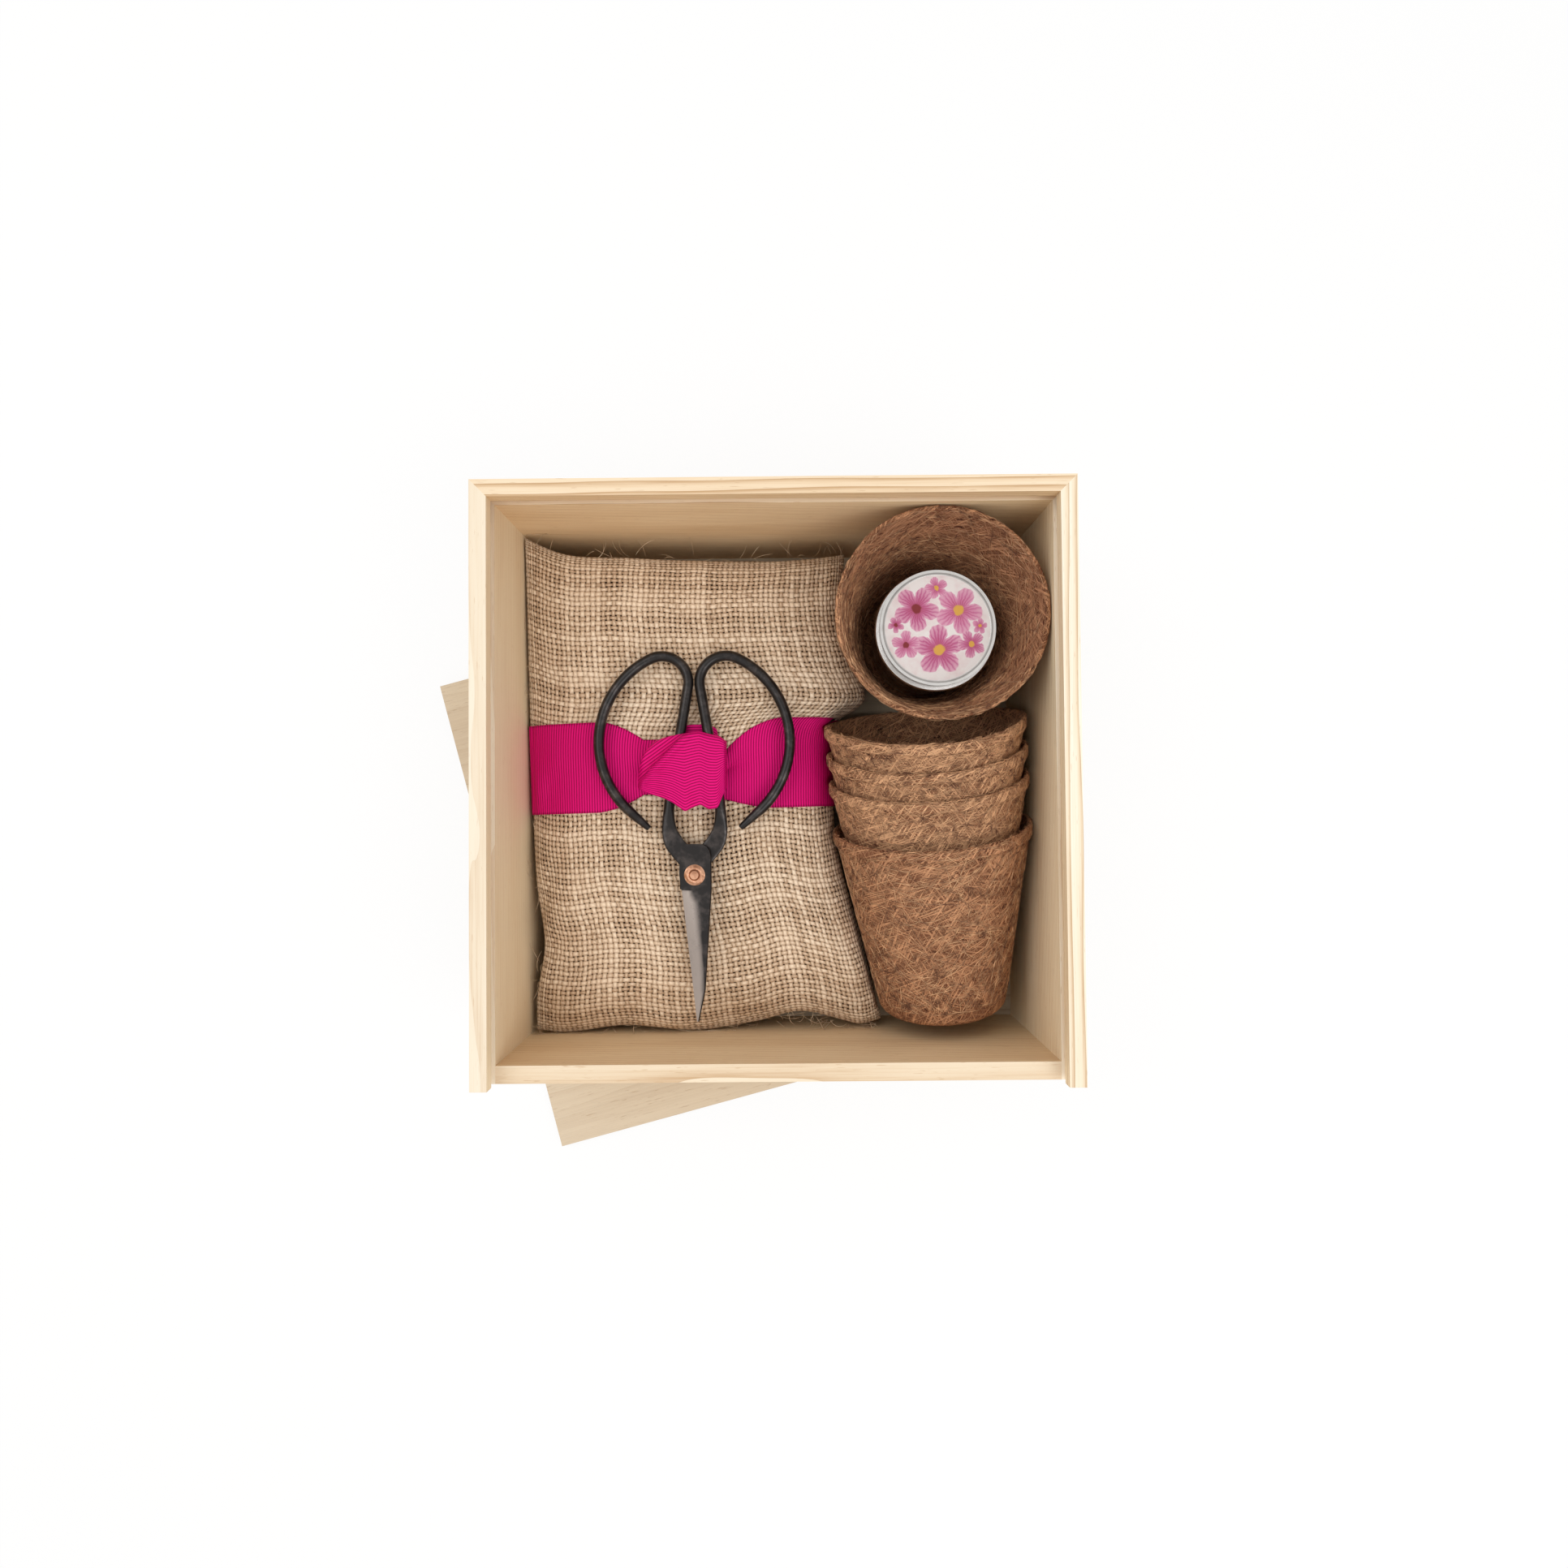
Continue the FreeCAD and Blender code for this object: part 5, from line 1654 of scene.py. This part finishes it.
        sweep = turn[:, None] + length[:, None] * steps * np.cos(slant)[:, None] / np.maximum(radius, 0.01)
        lines = np.stack([radius * np.cos(sweep), radius * np.sin(sweep), rise], -1)
        return make_strands(f"{self.node}_strands", self.put(lines), rng.uniform(0.00010, 0.00024, count))

    def dress(self, outside: Material, inside: Material,
              strand: Material) -> None:
        """Build the pot and dress it.

        Args:
            outside: Finish of the outer face and the rim; for the higher pots, a paler copy with painted
                light.
            inside: Finish of the inner face, a darker copy of the coir with painted shade.
            strand: Finish of the loose fibres.
        """
        pot = self.build()
        wear_finish(pot, outside, inside)
        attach(pot, self.body)
        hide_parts(self.node)
        loose = self.strands()
        wear_finish(loose, strand)
        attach(loose, self.body)
        LOG.info("%s: %d points", self.node, len(pot.data.vertices))


@dataclass
class PotSet:
    """The standing pot and the four nested ones that lie down."""

    standing: Place = (68.65, 68.65, 9.0)
    outer_mouth: Place = (68.79, -18.23, 52.81)
    mouthward: Place = (-0.0771, 0.9803, 0.1822)
    upward: Place = (0.0143, -0.1816, 0.9833)
    nesting: tuple[float, ...] = (0.0, 21.5, 34.3, 47.1)
    drop: float = 1.529
    turn: float = 4.5
    lean: float = 10.5

    def stands(self) -> list[tuple[np.ndarray, np.ndarray]]:
        """Middle of each pot's base and the way to its mouth, the standing pot first."""
        mouthward, upward = np.array(self.mouthward), np.array(self.upward)
        found = [(np.array(self.standing) * MM, np.array((0.0, 0.0, 1.0)))]
        for far in self.nesting:
            mouth = np.array(self.outer_mouth) + mouthward * far - upward * (self.drop if far else 0.0)
            found.append(((mouth - mouthward * CoirPot.height) * MM, mouthward))
        return found

    def dress(self) -> None:
        """Build and dress the five pots."""
        outside = Coir("coir_outside").material()
        # The higher nested pots get a paler copy of the coir: painted light on their upper walls and rims
        raised = Coir("coir_raised_painted_light", (0.080, 0.029, 0.016), (0.33, 0.142, 0.071),
                      (0.78, 0.44, 0.24)).material()
        # The inner faces get a much darker copy of the coir: painted shade inside the pots
        inside = Coir("coir_inside_painted_shade", (0.012, 0.004, 0.0026), (0.056, 0.018, 0.010),
                      (0.20, 0.080, 0.045)).material()
        strand = Strand("coir_strand", (0.74, 0.425, 0.225), (0.15, 0.060, 0.030)).material()
        lean = Matrix.Rotation(math.radians(self.lean - 90.0), 4, "X")
        turned = Matrix.Rotation(math.radians(self.turn), 4, "Z") @ lean
        # Share of each pot's height without fibres, fibres outside and inside, and how far the rim is sunk
        shown = ((0.08, 500, 900, 0.0), (0.08, 1500, 0, 2.4), (0.755, 460, 0, 4.2), (0.858, 330, 0, 5.3),
                 (0.858, 330, 500, 6.6))
        for number, ((foot, _), (bare, wall, inner, sunk)) in enumerate(zip(self.stands(), shown)):
            name, body, stance = "standing_pot", "standing_pot_body", Matrix.Identity(4)
            if number:
                name, body, stance = f"nested_pot_{number}", "pot_stack", turned
            place = Matrix.Translation(Vector(foot)) @ stance
            pot = CoirPot(name, body, place, 3 + number, bare, wall, inner, sunk)
            pot.dress(raised if number > 1 else outside, inside, strand)


@dataclass
class SeedTin:
    """Small round tin with a printed disc on its lid."""

    axis: Point = (70.85, 67.25)

    def dress(self) -> None:
        """Dress the can, the lid, the disc and the seeds."""
        centre = (self.axis[0] * MM, self.axis[1] * MM, 0.0)
        low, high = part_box("tin_label")
        metal = Tinplate("tinplate", centre, (high[0] - low[0]) / 2).material()
        for node in ("tin_can", "tin_lid"):
            wear_finish(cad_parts[node], metal)
        wear_finish(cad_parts["tin_label"], PrintedDisc("printed_disc", centre).material())
        seeds = Crumb("seeds", (0.32, 0.20, 0.10), (0.07, 0.04, 0.02), 700.0)
        wear_finish(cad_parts["flower_seeds"], seeds.material())
        LOG.info("seed tin dressed")


@dataclass
class Studio:
    """Pale floor, soft light and the camera above the box."""

    floor_size: float = 4.0
    glow_share: float = 0.85
    lit_at: Place = (0.0, 0.0, 0.05)
    camera_place: Place = (0.004077, -0.010185, 0.486826)
    camera_turn: Place = (1.354, 0.129, -0.498)
    lens: float = 22.24

    def floor(self) -> None:
        """Lay the floor, which shows white to the camera and keeps a soft shadow."""
        corners = np.array([(-1, -1, 0), (1, -1, 0), (1, 1, 0), (-1, 1, 0)]) * self.floor_size / 2
        ground = make_object("studio_floor", corners, np.array([[0, 1, 2, 3]]))
        graph = Skin("studio_floor")
        graph.wear("Base Color", (0.92, 0.92, 0.92))
        graph.wear("Roughness", 0.9)
        path = graph.add("ShaderNodeLightPath").outputs
        seen = graph.plus(path["Is Camera Ray"], path["Is Glossy Ray"], clamp=True)
        seen = graph.plus(seen, path["Is Transmission Ray"], clamp=True)
        seen = graph.times(seen, self.glow_share)
        glow = graph.add("ShaderNodeEmission", {"Color": (1.0, 1.0, 1.0), "Strength": 1.0})
        blend = graph.add("ShaderNodeMixShader", {0: seen, 1: graph.shader.outputs[0], 2: glow.outputs[0]})
        output = next(node for node in graph.tree.nodes if node.type == "OUTPUT_MATERIAL")
        graph.join(blend.outputs[0], output.inputs["Surface"])
        wear_finish(ground, graph.material)

    def lamp(self, name: str, place: Place, size: float, power: float) -> None:
        """Hang one soft square lamp that faces the box.

        Args:
            name: Name of the lamp.
            place: Where it hangs, in metres.
            size: Length of its side in metres.
            power: Its power in watts.
        """
        data = bpy.data.lights.new(name, "AREA")
        data.size = size
        data.energy = power
        lamp = bpy.data.objects.new(name, data)
        lamp.location = place
        lamp.rotation_euler = (Vector(self.lit_at) - Vector(place)).to_track_quat("-Z", "Y").to_euler()
        bpy.context.scene.collection.objects.link(lamp)

    def set_up(self) -> None:
        """Make the floor, the light and the camera."""
        scene = bpy.context.scene
        scene.view_settings.view_transform = "Standard"
        self.floor()
        world = bpy.data.worlds.new("studio_air")
        scene.world = world
        world.use_nodes = True
        graph = Graph(world.node_tree)
        air = next(node for node in world.node_tree.nodes if node.type == "BACKGROUND")
        graph.join((1.0, 0.98, 0.95), air.inputs["Color"])
        path = graph.add("ShaderNodeLightPath").outputs
        # The air lights the box a little less than it shows
        strength = graph.scaled(path["Is Camera Ray"], 0.16, 0.84)
        graph.join(strength, air.inputs["Strength"])
        self.lamp("window", (-0.56, 0.24, 1.05), 0.7, 2.6)
        self.lamp("bounce", (0.50, -0.42, 1.05), 0.6, 3.3)
        data = bpy.data.cameras.new("camera")
        data.lens = self.lens
        data.sensor_width = 36.0
        data.sensor_fit = "HORIZONTAL"
        data.clip_start = 0.01
        camera = bpy.data.objects.new("camera", data)
        camera.location = self.camera_place
        camera.rotation_euler = tuple(math.radians(turn) for turn in self.camera_turn)
        scene.collection.objects.link(camera)
        scene.camera = camera


def main() -> None:
    logging.basicConfig(level=logging.INFO, format="%(name)s: %(message)s")
    PineBox().dress()
    pots = PotSet()
    bag = HessianBag().dress(pots)
    Ribbon().dress(bag)
    Scissors().dress()
    pots.dress()
    SeedTin().dress()
    Studio().set_up()


if __name__ == "__main__":
    main()
